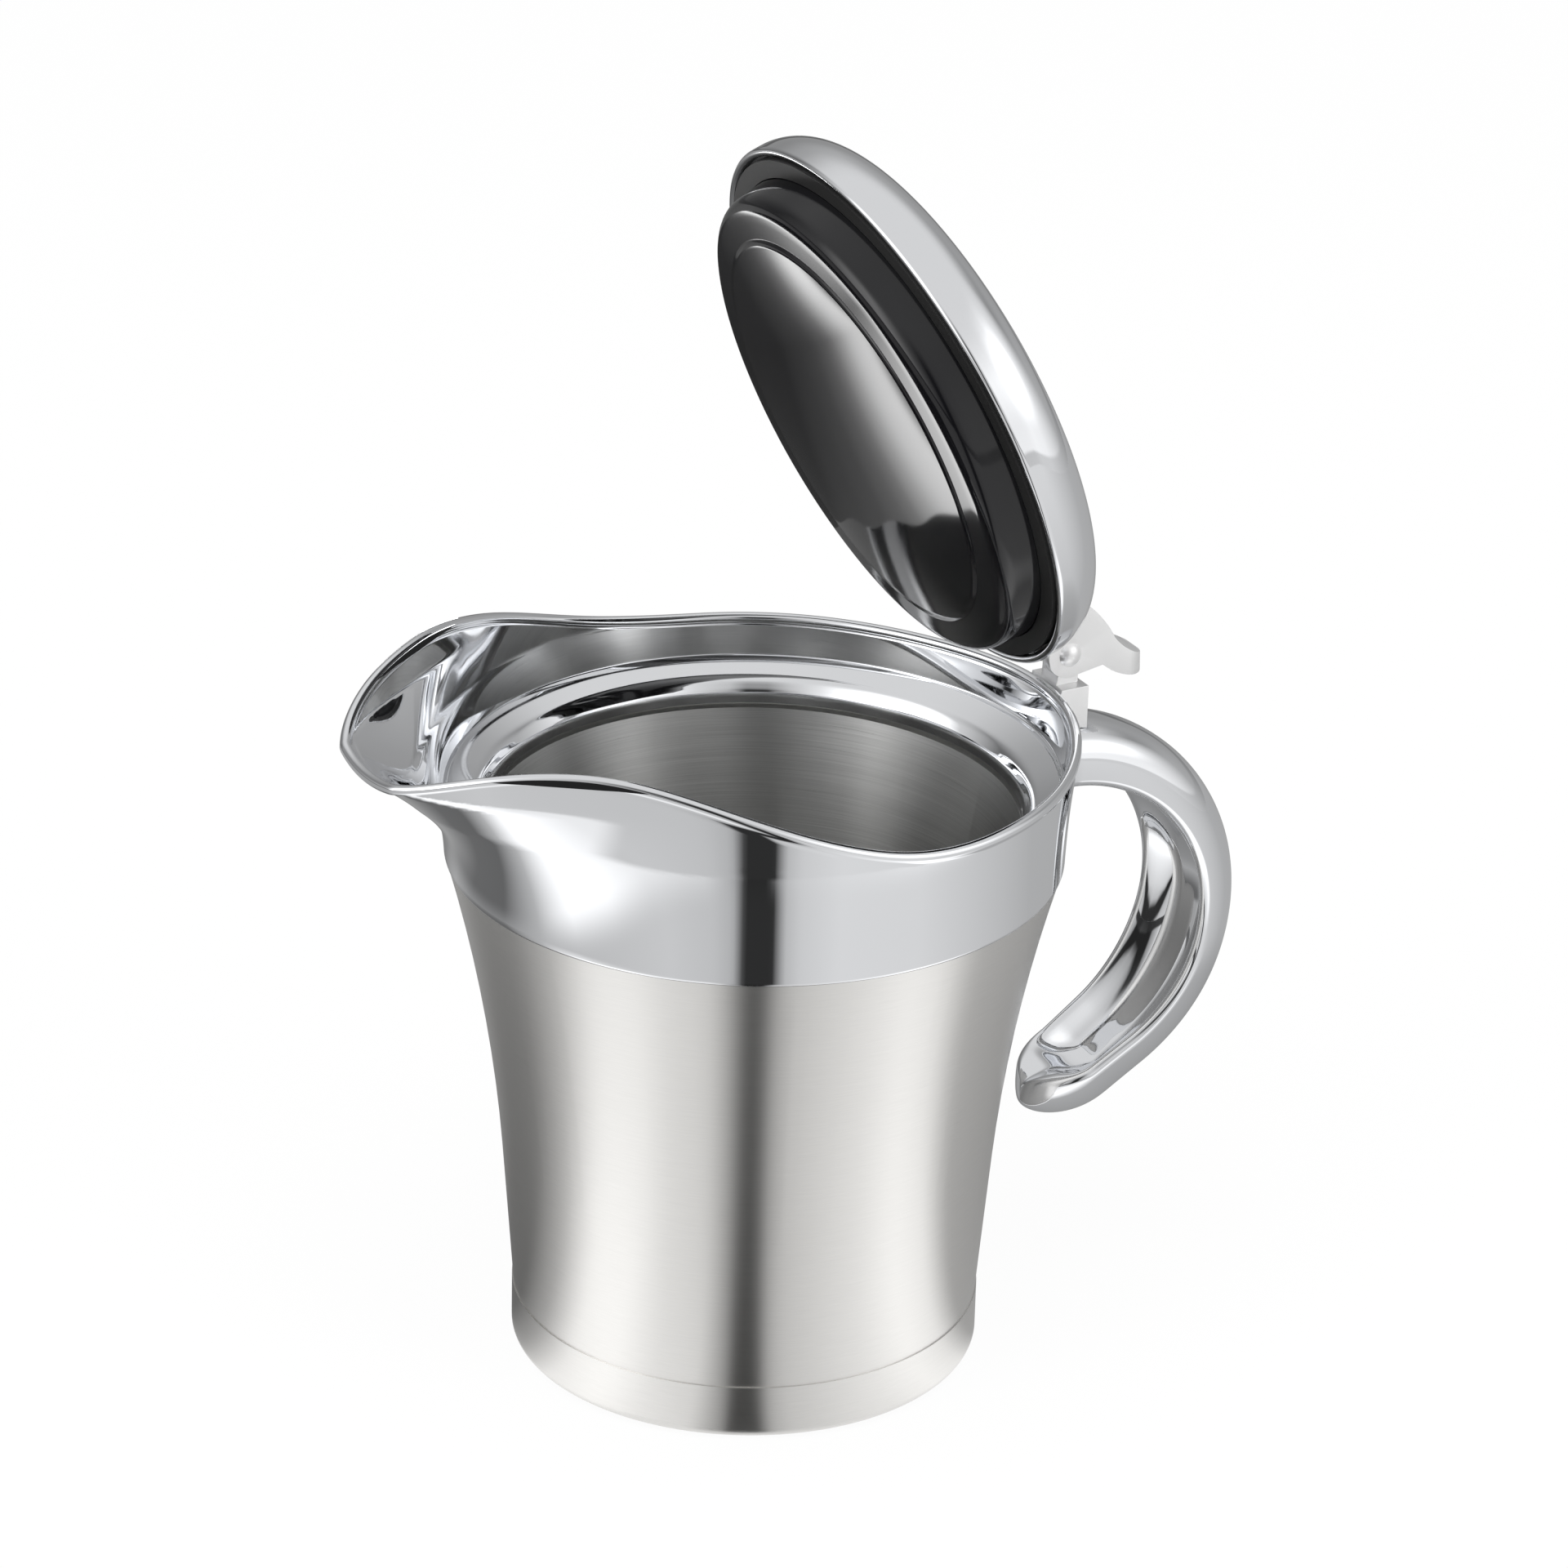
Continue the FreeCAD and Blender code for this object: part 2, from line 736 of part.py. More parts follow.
# Hinge bracket: a block seated on the handle's root, with a tongue that carries the pin
hinge_x = cell("hinge_x")
hinge_z = cell("hinge_z")
tongue_half = cell("tongue_half_width")
lever_half = cell("lever_half_width")
pin_radius = cell("pin_radius")
pin_bore = pin_radius + cell("pin_gap")


def across(radius, half_width):
    """Cylinder along Y about the hinge's axis, on the +Y side."""
    base = Vector(num("hinge_x"), 0, num("hinge_z"))
    return Part.makeCylinder(radius, half_width, base, Vector(0, 1, 0))


def bracket_shape():
    thick = num("tongue_thick")
    front = num("hinge_x") - thick / 2
    wide = num("block_half_width")
    top = num("block_top")
    foot = num("hook_centre_z") + num("hook_radius") + num("hook_root_depth") / 2
    block = Part.makeBox(num("block_length"), wide, top - foot,
                         Vector(front + num("block_shift"), 0, foot))
    stem = Part.makeBox(thick, num("tongue_half_width"), num("hinge_z") - foot, Vector(front, 0, foot))
    head = across(num("tongue_radius"), num("tongue_half_width"))
    half = block.fuse(stem).fuse(head).cut(across(pin_bore.value, wide))
    return both_halves(half.cut(collar_form(0.0, num("seam_height"))).cut(handle.Shape))


hinge_bracket = feature("hinge_bracket", bracket_shape())


def pin_axis_body(label, outline):
    """Body of revolution about the hinge's axis, from (radius, y) corners in the pin's plane."""
    body = new_body(label)
    placed = [(hinge_x + entry[0], entry[1], *entry[2:]) for entry in outline]
    sketch = draw(body, label + "_section", placed, "XY_Plane", hinge_z)
    axis = sketch.addGeometry(Part.LineSegment(Vector(hinge_x.value, 0, 0),
                                               Vector(hinge_x.value, 1, 0)), True)
    tie_point(sketch, axis, 1, hinge_x, 0)
    tie_point(sketch, axis, 2, hinge_x, lever_half)
    revolved(body, sketch, label + "_turn", "Axis0")
    return body


def washers_shape():
    """Friction washers, one on each side of the tongue."""
    thick = num("washer_thick")
    ring = across(num("washer_radius"), thick).cut(across(pin_bore.value, thick))
    ring.translate(Vector(0, num("tongue_half_width"), 0))
    return Part.makeCompound([ring, ring.mirror(Vector(0, 0, 0), Vector(0, 1, 0))])


hinge_washers = feature("hinge_washers", washers_shape())
washer_thick = cell("washer_thick")

# Headed pin, riveted over at both ends
head_radius = cell("pin_head_radius")
head_rise = cell("pin_head_rise")
head_round = (head_radius * head_radius + head_rise * head_rise) / (head_rise * 2)

hinge_pin = pin_axis_body("hinge_pin", [
    (0, -lever_half - head_rise, head_round, True),
    (head_radius, -lever_half),
    (pin_radius, -lever_half),
    (pin_radius, lever_half),
    (head_radius, lever_half, head_round, True),
    (0, lever_half + head_rise),
])

# Lid shell: a drawn cap with a round shoulder, a low crown and a hem turned in at its mouth
mouth = cell("mouth_height")
lid_radius = cell("lid_radius")
lid_wall = cell("lid_wall")
hem_radius = cell("hem_radius")
shoulder = cell("lid_shoulder")
crown_half = cell("crown_half")
hem_top = mouth + cell("hem_height")
side_top = mouth + cell("lid_side_height")
shoulder_top = side_top + shoulder
crown_top = mouth + cell("lid_crown")
crown_rise = crown_top - shoulder_top
crown_radius = (crown_half * crown_half + crown_rise * crown_rise) / (crown_rise * 2)

lid_shell = turned("lid_shell", [
    (lid_radius, mouth),
    (lid_radius, side_top, shoulder, True),
    (crown_half, shoulder_top, crown_radius, True),
    (0, crown_top),
    (0, crown_top - lid_wall, crown_radius, False),
    (crown_half, shoulder_top - lid_wall, shoulder - lid_wall, False),
    (lid_radius - lid_wall, side_top),
    (lid_radius - lid_wall, hem_top),
    (hem_radius, hem_top),
    (hem_radius, mouth),
])

# Lid plug: a moulded cup with a rounded bead round a shallow dome
plug_wall = cell("plug_wall")
plug_flange = cell("plug_flange_radius")
plug_radius = cell("plug_radius")
plug_shoulder = cell("plug_shoulder_radius")
plug_round = cell("plug_round")
crease_radius = cell("plug_crease_radius")
bead_height = mouth - cell("plug_drop")
crease_height = mouth - cell("plug_crease_drop")
dome_height = mouth - cell("plug_dome_drop")
dome_rise = crease_height - dome_height
dome_radius = (crease_radius * crease_radius + dome_rise * dome_rise) / (dome_rise * 2)
flange_high = hem_top + cell("plug_flange_thick")

lid_plug = turned("lid_plug", [
    (plug_flange, flange_high),
    (plug_radius - plug_wall, flange_high),
    (plug_shoulder - plug_wall, bead_height),
    (crease_radius, crease_height + plug_wall, dome_radius, False),
    (0, dome_height + plug_wall),
    (0, dome_height, dome_radius, True),
    (crease_radius, crease_height),
    (plug_shoulder - plug_round, bead_height - plug_round, plug_round, True),
    (plug_shoulder, bead_height),
    (plug_radius, hem_top),
    (plug_flange, hem_top),
])

# Seal under the plug's flange, which closes on the ledge
seal_radius = cell("seal_radius")
seal_low = hem_top - cell("seal_thick")

lid_seal = turned("lid_seal", [
    (plug_radius, hem_top),
    (plug_radius, seal_low),
    (seal_radius, seal_low),
    (seal_radius, hem_top),
])

# Thumb lever: its foot lies on the lid, its ears straddle the tongue, its tab curls up
ear_radius = cell("ear_radius")
slot_half = tongue_half + washer_thick + cell("washer_gap")
slot_radius = ear_radius - cell("slot_margin")


def near_pivot(x, z, *rest):
    """Sketch entry at a distance from the hinge's axis, in the closed pose."""
    return (hinge_x + x, hinge_z + z) + rest


tab_top = near_pivot(cell("tab_top_reach"), cell("tab_top_rise"))
tab_tip = near_pivot(cell("tab_tip_reach"), cell("tab_tip_rise"), cell("tab_radius"), False)
heel_radius = cell("heel_radius")

thumb_lever = new_body("thumb_lever")
lever_side = draw(thumb_lever, "lever_side", [
    near_pivot(-cell("lever_toe_reach"), -cell("lever_toe_drop")),
    near_pivot(-cell("lever_back_reach"), cell("lever_back_rise"), cell("lever_back_radius"), False),
    near_pivot(cell("lever_neck_reach"), cell("lever_neck_rise"), cell("lever_neck_radius"), True),
    tab_top,
    tab_tip,
    near_pivot(cell("heel_reach"), cell("heel_rise")),
    near_pivot(heel_radius, 0.0, heel_radius, False),
    near_pivot(-cell("heel_foot_reach"), -cell("heel_foot_drop")),
    near_pivot(-cell("sole_near_reach"), -cell("sole_near_drop")),
    near_pivot(-cell("sole_far_reach"), -cell("sole_far_drop")),
])
lever_blank = extruded(thumb_lever, lever_side, "lever_blank", lever_half)
doc.recompute()


def is_tab_corner(edge):
    """True for the two edges across the thickness of the tab's end."""
    middle_x = (tab_top[0].value + tab_tip[0].value) / 2
    middle_z = (tab_top[1].value + tab_tip[1].value) / 2
    centre = edge.CenterOfMass
    apart = math.hypot(centre.x - middle_x, centre.z - middle_z)
    return apart < tongue_half.value / 2 and abs(centre.y) > tongue_half.value


tab_rounding = thumb_lever.newObject("PartDesign::Fillet", "tab_rounding")
corner_names = ["Edge%d" % (index + 1) for index, edge in enumerate(lever_blank.Shape.Edges)
                if is_tab_corner(edge)]
tab_rounding.Base = (lever_blank, corner_names)
set_size(tab_rounding, "Radius", cell("tab_corner"))

slot_reach = cell("slot_reach")
slot_drop = cell("slot_drop")

ear_slot = draw(thumb_lever, "ear_slot", [
    near_pivot(-slot_radius, 0, slot_radius, False),
    near_pivot(0, slot_radius),
    near_pivot(slot_reach, cell("slot_rise")),
    near_pivot(slot_reach, -slot_drop),
    near_pivot(-slot_radius, -slot_drop),
])
extruded(thumb_lever, ear_slot, "lever_slot", slot_half, "PartDesign::Pocket")

pin_hole = new_sketch(thumb_lever, "pin_hole", "XZ_Plane")
pin_hole.addGeometry(Part.Circle(Vector(hinge_x.value, hinge_z.value, 0), Vector(0, 0, 1),
                                 pin_radius.value))
tie_point(pin_hole, 0, 3, hinge_x, hinge_z)
tie_radius(pin_hole, 0, pin_radius)
extruded(thumb_lever, pin_hole, "lever_bore", lever_half + TOOL_MARGIN, "PartDesign::Pocket")

lid_outside = draw(thumb_lever, "lid_outside", [
    (lid_radius, mouth),
    (lid_radius, side_top, shoulder, True),
    (crown_half, shoulder_top, crown_radius, True),
    (0, crown_top),
    (0, mouth),
])
revolved(thumb_lever, lid_outside, "lid_room", kind="PartDesign::Groove")

# The lid's pieces are laid out closed, then swung open about the hinge
lid_swing = FreeCAD.Placement(
    Vector(0, 0, 0),
    FreeCAD.Rotation(Vector(0, 1, 0), num("open_angle")),
    Vector(hinge_x.value, 0, hinge_z.value))
doc.recompute()
for item in (lid_shell, lid_plug, lid_seal, thumb_lever, hinge_pin):
    item.Placement = lid_swing
doc.recompute()

# Every feature has to be sound before anything is written
pieces = [item for item in doc.Objects if item.TypeId in ("PartDesign::Body", "Part::Feature")]
for item in doc.Objects:
    if "Invalid" in item.State or "Error" in item.State:
        raise RuntimeError("%s did not recompute" % item.Label)
for item in pieces:
    if item.Shape.isNull() or not item.Shape.isValid() or not item.Shape.Solids:
        raise RuntimeError("%s has no sound solid" % item.Label)

os.makedirs("parts", exist_ok=True)
for item in pieces:
    item.Shape.exportStep("parts/%s.step" % item.Label)
    print(item.Label, round(item.Shape.Volume, 1), len(item.Shape.Solids))
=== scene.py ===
import json
import math

import bmesh
import bpy
import numpy as np
from bpy.props import FloatProperty, FloatVectorProperty, PointerProperty
from mathutils import Matrix, Vector


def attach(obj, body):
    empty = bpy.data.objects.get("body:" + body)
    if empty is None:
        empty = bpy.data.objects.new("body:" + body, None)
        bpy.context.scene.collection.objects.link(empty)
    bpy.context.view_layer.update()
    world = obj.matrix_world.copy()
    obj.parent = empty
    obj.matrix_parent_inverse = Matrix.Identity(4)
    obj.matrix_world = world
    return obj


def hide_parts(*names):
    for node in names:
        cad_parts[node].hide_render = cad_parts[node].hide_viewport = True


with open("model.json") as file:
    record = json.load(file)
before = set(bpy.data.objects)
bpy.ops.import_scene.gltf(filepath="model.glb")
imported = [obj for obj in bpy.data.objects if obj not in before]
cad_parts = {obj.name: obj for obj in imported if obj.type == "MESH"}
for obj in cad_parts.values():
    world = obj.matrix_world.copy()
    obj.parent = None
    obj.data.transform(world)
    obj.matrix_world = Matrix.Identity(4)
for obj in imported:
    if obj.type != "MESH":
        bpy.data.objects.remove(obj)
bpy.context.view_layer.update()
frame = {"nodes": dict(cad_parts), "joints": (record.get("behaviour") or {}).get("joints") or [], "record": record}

bl_info = {
    "name": "Insulated sauce jug",
    "version": (1, 0, 0),
    "blender": (4, 5, 0),
    "location": "View3D > Sidebar > Sauce jug",
    "description": "Finishes and stage for a double-walled sauce jug with a hinged lid",
    "category": "Object",
}

RECORD = frame["record"]
HINGE = Vector(frame["joints"][0]["pos_m"])
LID_OPEN = math.radians(69.0)
CAMERA_AZIMUTH = math.radians(-119.23)
BRIGHTEST = 3.0
CEILING = 0.75
# Turn and glow of the sheet that paints the plug's highlight
PLUG_HIGHLIGHT_TURN = math.radians(31.1)
PLUG_HIGHLIGHT_GLOW = 7.0


class Value:
    """A node's output in an expression, where each operator adds one Math node."""

    def __init__(self, finish, socket):
        self.finish = finish
        self.socket = socket

    def math(self, operation, *others):
        inputs = dict(enumerate((self, *others)))
        return self.finish.node("ShaderNodeMath", {"operation": operation}, inputs)

    def swapped(self, operation, other):
        return self.finish.node("ShaderNodeMath", {"operation": operation}, {0: other, 1: self})

    def __add__(self, other):
        return self.math("ADD", other)

    def __sub__(self, other):
        return self.math("SUBTRACT", other)

    def __rsub__(self, other):
        return self.swapped("SUBTRACT", other)

    def __mul__(self, other):
        return self.math("MULTIPLY", other)

    def __truediv__(self, other):
        return self.math("DIVIDE", other)

    def __rtruediv__(self, other):
        return self.swapped("DIVIDE", other)

    def __pow__(self, other):
        return self.math("POWER", other)

    __radd__ = __add__
    __rmul__ = __mul__


class Finish:
    """A node material in the making, with one method that adds any node."""

    def __init__(self, name):
        self.material = bpy.data.materials.new(name)
        self.material.use_nodes = True
        self.tree = self.material.node_tree
        self.tree.nodes.clear()

    def node(self, kind, settings=None, inputs=None, output=0):
        made = self.tree.nodes.new(kind)
        for key, value in (settings or {}).items():
            if key == "stops":
                while len(made.color_ramp.elements) < len(value):
                    made.color_ramp.elements.new(0.5)
                for element, (position, grey) in zip(made.color_ramp.elements, value):
                    element.position = position
                    element.color = (grey, grey, grey, 1.0)
            else:
                setattr(made, key, value)
        for key, value in (inputs or {}).items():
            if isinstance(value, Value):
                self.tree.links.new(value.socket, made.inputs[key])
            else:
                made.inputs[key].default_value = value
        return Value(self, made.outputs[output])

    def place(self, centre=(0.0, 0.0, 0.0), turn=0.0, turn_z=0.0):
        """X, Y and Z of a point from a centre, with the pattern turned about Y or Z."""
        where = self.node("ShaderNodeTexCoord", output=3)
        moved = self.node("ShaderNodeMapping", {"vector_type": "TEXTURE"},
                          {"Vector": where, "Location": centre, "Rotation": (0.0, turn, turn_z)})
        parts = self.node("ShaderNodeSeparateXYZ", None, {0: moved})
        outputs = parts.socket.node.outputs
        return [Value(self, outputs[index]) for index in range(3)]

    def around(self, centre=(0.0, 0.0, 0.0), turn=0.0, turn_z=0.0):
        """Angle round an axis, distance from it and height along it."""
        x, y, z = self.place(centre, turn, turn_z)
        return y.math("ARCTAN2", x), (x * x + y * y) ** 0.5, z

    def point(self, x, y, z):
        return self.node("ShaderNodeCombineXYZ", None, {0: x, 1: y, 2: z})

    def noise(self, where, scale, detail=2.0, roughness=0.5):
        return self.node("ShaderNodeTexNoise", None,
                         {"Vector": where, "Scale": scale, "Detail": detail, "Roughness": roughness})

    def ramp(self, value, *stops):
        return self.node("ShaderNodeValToRGB", {"stops": stops}, {0: value})

    def tint(self, share, dark, light):
        """Colour between two colours."""
        return self.node("ShaderNodeMix", {"data_type": "RGBA"},
                         {0: share, 6: (*dark, 1.0), 7: (*light, 1.0)}, output=2)

    def step(self, value, low, high):
        """Smooth rise from 0 to 1 between two values."""
        return self.node("ShaderNodeMapRange", {"interpolation_type": "SMOOTHSTEP"},
                         {"Value": value, "From Min": low, "From Max": high})

    def blend(self, share, first, second):
        """Colour that goes from the first to the second."""
        return self.node("ShaderNodeMix", {"data_type": "RGBA"}, {0: share, 6: first, 7: second}, output=2)

    def bump(self, height, strength, distance):
        return self.node("ShaderNodeBump", None,
                         {"Height": height, "Strength": strength, "Distance": distance})

    def surface(self, **sockets):
        """The finished shader; names with underscores stand for sockets with spaces."""
        inputs = {key.replace("_", " "): value for key, value in sockets.items()}
        shader = self.node("ShaderNodeBsdfPrincipled", None, inputs)
        self.node_output(shader)
        return self.material

    def node_output(self, shader):
        output = self.tree.nodes.new("ShaderNodeOutputMaterial")
        self.tree.links.new(shader.socket, output.inputs["Surface"])


def brushed_steel(name, light, dark, roughness, spread, length, spun=0.88):
    """Steel brushed round its axis: short fine scratches of tone, roughness and height.

    The scratches are noise stretched along the turn, in two sizes, over a faint broad cloud.
    """
    finish = Finish(name)
    angle, out, z = finish.around()
    lift = z + out
    fine = finish.noise(finish.point(angle * length, lift * 6500.0, 0.0), 1.0, 2.0, 0.6)
    coarse = finish.noise(finish.point(angle * (length * 0.5), lift * 1700.0, 7.0), 1.0, 2.0, 0.5)
    cloud = finish.noise(finish.point(angle * 1.3, lift * 40.0, 3.0), 1.0, 1.0)
    rings = fine * 0.6 + coarse * 0.3 + cloud * 0.1
    colour = finish.tint(finish.ramp(rings, (0.3, 0.0), (0.7, 1.0)), dark, light)
    return finish.surface(
        Base_Color=colour,
        Metallic=1.0,
        Roughness=rings * spread + (roughness - spread * 0.5),
        Anisotropic=spun,
        Anisotropic_Rotation=0.25,
        Normal=finish.bump(rings, 0.05, 0.0001),
    )


def polished_chrome(name, colour, haze):
    """Mirror-polished steel with a faint haze that varies over it."""
    finish = Finish(name)
    x, y, z = finish.place()
    cloud = finish.noise(finish.point(x, y, z), 38.0, 3.0)
    dark = tuple(part * 0.97 for part in colour)
    return finish.surface(
        Base_Color=finish.tint(cloud, dark, colour),
        Metallic=1.0,
        Roughness=cloud * haze + haze * 0.5,
    )


def satin_steel(name, colour, roughness):
    """Bead-blasted steel: light and even, with a faint soft cloud."""
    finish = Finish(name)
    x, y, z = finish.place()
    cloud = finish.noise(finish.point(x, y, z), 160.0, 2.0)
    dark = tuple(part * 0.96 for part in colour)
    return finish.surface(
        Base_Color=finish.tint(cloud, dark, colour),
        Metallic=0.8,
        Roughness=cloud * 0.05 + roughness,
    )


def moulded(name, colour, roughness, grain_scale, relief, **more):
    """Moulded plastic or rubber with a shallow grain."""
    finish = Finish(name)
    x, y, z = finish.place()
    grain = finish.noise(finish.point(x, y, z), grain_scale, 2.0)
    light = tuple(min(1.0, part * 1.25 + 0.001) for part in colour)
    return finish.surface(
        Base_Color=finish.tint(grain, colour, light),
        Roughness=grain * 0.05 + roughness,
        Normal=finish.bump(grain, relief, 0.0001),
        **more,
    )


def paint(node, material):
    """Give a node of the model one material."""
    slots = frame["nodes"][node].data.materials
    slots.clear()
    slots.append(material)


class SteelSettings(bpy.types.PropertyGroup):
    """Colours of the metal parts."""
    body: FloatVectorProperty(name="Body", description="Brushed steel of the cup",
                              subtype="COLOR", default=(0.80, 0.79, 0.77), min=0, max=1)
    liner: FloatVectorProperty(name="Liner", description="Brushed steel inside the cup",
                               subtype="COLOR", default=(0.66, 0.66, 0.65), min=0, max=1)
    chrome: FloatVectorProperty(name="Polished", description="Collar, handle and lid",
                                subtype="COLOR", default=(0.86, 0.87, 0.89), min=0, max=1)
    satin: FloatVectorProperty(name="Hinge", description="Lever, pin and bracket",
                               subtype="COLOR", default=(0.92, 0.92, 0.92), min=0, max=1)


class PlasticSettings(bpy.types.PropertyGroup):
    """Colours of the plastic and rubber parts."""
    plug: FloatVectorProperty(name="Plug", description="Moulded underside of the lid",
                              subtype="COLOR", default=(0.004, 0.004, 0.005), min=0, max=1)


class StageSettings(bpy.types.PropertyGroup):
    """Light and camera."""
    lens: FloatProperty(name="Lens", description="Focal length of the camera",
                        default=150.0, min=20.0, max=400.0, unit="CAMERA")


class JUG_OT_metal(bpy.types.Operator):
    """Finish the steel parts"""
    bl_idname = "jug.metal"
    bl_label = "Steel parts"

    def execute(self, context):
        steel = context.scene.jug_steel
        body = tuple(steel.body)
        body_steel = brushed_steel("brushed_body", body, tuple(part * 0.94 for part in body), 0.34, 0.06, 9.0)
        for node in ("outer_shell", "base_cap"):
            paint(node, body_steel)
        liner = tuple(steel.liner)
        paint("inner_liner", brushed_steel("brushed_liner", liner, tuple(part * 0.72 for part in liner),
                                           0.30, 0.16, 2.0))
        chrome = polished_chrome("mirror_chrome", tuple(steel.chrome), 0.04)
        rings, ends = hook_rings()
        hook = skin("hook_handle", rings, "jug", poles=ends)
        plate = saddle_rings()
        plate = skin("handle_saddle", plate, "jug", poles=(plate[0].mean(0), plate[-1].mean(0)))
        for piece in (hook, plate):
            piece.data.materials.append(chrome)
            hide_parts("handle")
        collar = skin("rolled_collar", collar_rings(), "jug", closed=True)
        collar.data.materials.append(chrome)
        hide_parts("spout_collar")
        profile = lid_profile()
        ends = [swung(np.array([(0.0, 0.0, height)])) for height in (profile[0, 1], profile[-1, 1])]
        shell = skin("hemmed_lid", swung(spun(profile)), "lid", poles=ends)
        shell.data.materials.append(chrome)
        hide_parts("lid_shell")
        satin = satin_steel("satin_hinge", tuple(steel.satin), 0.34)
        paint("hinge_pin", satin)
        softened("thumb_lever", "lid", 0.0005, satin)
        softened("hinge_bracket", "jug", 0.0003, satin)
        return {"FINISHED"}


class JUG_OT_plastic(bpy.types.Operator):
    """Finish the plastic and rubber parts"""
    bl_idname = "jug.plastic"
    bl_label = "Plastic and rubber parts"

    def execute(self, context):
        plastic = context.scene.jug_plastic
        black = moulded("black_plug", tuple(plastic.plug), 0.07, 120.0, 0.0, IOR=1.5)
        rings = swung(spun(plug_profile()))
        ends = [ring.mean(0) for ring in (rings[0], rings[-1])]
        plug = skin("moulded_plug", rings, "lid", poles=ends)
        plug.data.materials.append(black)
        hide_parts("lid_plug")
        paint("lid_seal", moulded("black_seal", (0.012, 0.012, 0.012), 0.5, 1500.0, 0.1))
        paint("liner_gasket", moulded("clear_gasket", (0.6, 0.6, 0.57), 0.4, 1500.0, 0.1))
        paint("hinge_washers", moulded("washer_plastic", (0.75, 0.75, 0.73), 0.45, 1500.0, 0.1))
        return {"FINISHED"}


def look_matrix(back, roll):
    """Right, up and back of a camera that looks along minus back and is rolled by an angle."""
    right = Vector((0, 0, 1)).cross(back).normalized()
    up = back.cross(right)
    side = right * math.cos(roll) + up * math.sin(roll)
    top = up * math.cos(roll) - right * math.sin(roll)
    return side, top


# Sizes of the collar and lid, in millimetres, as in the model
FOOT_RADIUS = 52.25
SEAM_HEIGHT = 91.2
RIM_RADIUS = 52.9
RIM_LOW = 111.8
LOW_RISE = 20.6
TIP_RISE = 29.0
RIM_FLARE = 0.8
SPOUT_THROW = 20.9
TIP_RADIUS = 22.3
BACK_REACH = 3.2
BACK_SPREAD = 0.42
WALL = 1.7
SPOUT_FILL = 2.2
LEDGE_HEIGHT = 104.2
WAVE_PLACES = np.array([-106.0, -17.0, 2.9, 31.0, 49.5, 67.8, 74.6])
WAVE_HEIGHTS = np.array([111.0, 111.8, 113.7, 123.0, 127.1, 123.4, 120.2])
WAVE_SLOPES = np.array([0.0, 0.0, 0.2161, 0.3547, 0.0, -0.4401, -0.43])
MOUTH_HEIGHT = 103.6


def skin(name, rings, body, closed=False, poles=()):
    """Piece from rings of points in millimetres, as an array of rings, points and axes.

    Neighbouring rings are joined by four-sided faces, and so are the last ring and the first
    where the skin is closed. A pole is one point that ends the skin, joined to its ring by
    three-sided faces. If the volume that the faces enclose comes out negative, all are turned.
    """
    count, around = rings.shape[:2]
    points = rings.reshape(-1, 3)
    index = np.arange(count * around).reshape(count, around)
    low = index if closed else index[:-1]
    high = np.roll(index, -1, 0) if closed else index[1:]
    quads = np.stack([low, np.roll(low, -1, 1), np.roll(high, -1, 1), high], -1).reshape(-1, 4)
    faces = [quads]
    for ring, pole in zip((index[0], index[-1]), poles):
        points = np.vstack([points, pole])
        tip = np.full(around, len(points) - 1)
        pair = (ring, np.roll(ring, -1)) if ring[0] else (np.roll(ring, -1), ring)
        faces.append(np.stack([*pair, tip], -1))
    corners = points[quads]
    volume = np.einsum("ij,ij->i", corners[:, 0], np.cross(corners[:, 1], corners[:, 2])).sum()
    faces = [part if volume > 0 else part[:, ::-1] for part in faces]
    mesh = bpy.data.meshes.new(name)
    mesh.from_pydata((points / 1000).tolist(), [], [face for part in faces for face in part.tolist()])
    mesh.shade_smooth()
    piece = bpy.data.objects.new(name, mesh)
    bpy.context.scene.collection.objects.link(piece)
    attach(piece, body)
    return piece


def rounded(corners, steps=5):
    """Open profile through corners (radius, height, cut), each rounded by a parabola.

    The parabola leaves each side at the cut's length from the corner. One more point stands
    half a cut further out on each side, which keeps the flats flat when shaded.
    """
    corners = np.array(corners, float)
    place, cut = corners[:, :2], corners[:, 2:]
    before = np.vstack([2 * place[:1] - place[1:2], place[:-1]]) - place
    after = np.vstack([place[1:], 2 * place[-1:] - place[-2:-1]]) - place
    before /= np.linalg.norm(before, axis=1, keepdims=True)
    after /= np.linalg.norm(after, axis=1, keepdims=True)
    share = np.linspace(0, 1, steps)[None, :, None]
    start, end = (place + cut * before)[:, None], (place + cut * after)[:, None]
    curve = (1 - share) ** 2 * start + 2 * share * (1 - share) * place[:, None] + share ** 2 * end
    outer = (place + 1.5 * cut * before)[:, None], (place + 1.5 * cut * after)[:, None]
    profile = np.concatenate([outer[0], curve, outer[1]], 1).reshape(-1, 2)
    keep = np.linalg.norm(np.diff(profile, axis=0, prepend=profile[:1] - 1), axis=1) > 1e-4
    return profile[keep]


def spun(profile, around=192):
    """Rings of a profile (radius, height) turned about the cup's axis."""
    angle = np.linspace(0, 2 * np.pi, around, endpoint=False)
    radius, height = profile[:, :1], profile[:, 1:]
    return np.stack([radius * np.cos(angle), radius * np.sin(angle), height + 0 * angle], -1)


def swung(points):
    """Points of the closed lid turned about the hinge into the open lid."""
    turn = np.array([[math.cos(LID_OPEN), 0, math.sin(LID_OPEN)], [0, 1, 0],
                     [-math.sin(LID_OPEN), 0, math.cos(LID_OPEN)]])
    hinge = np.array(HINGE) * 1000
    return (points - hinge) @ turn.T + hinge


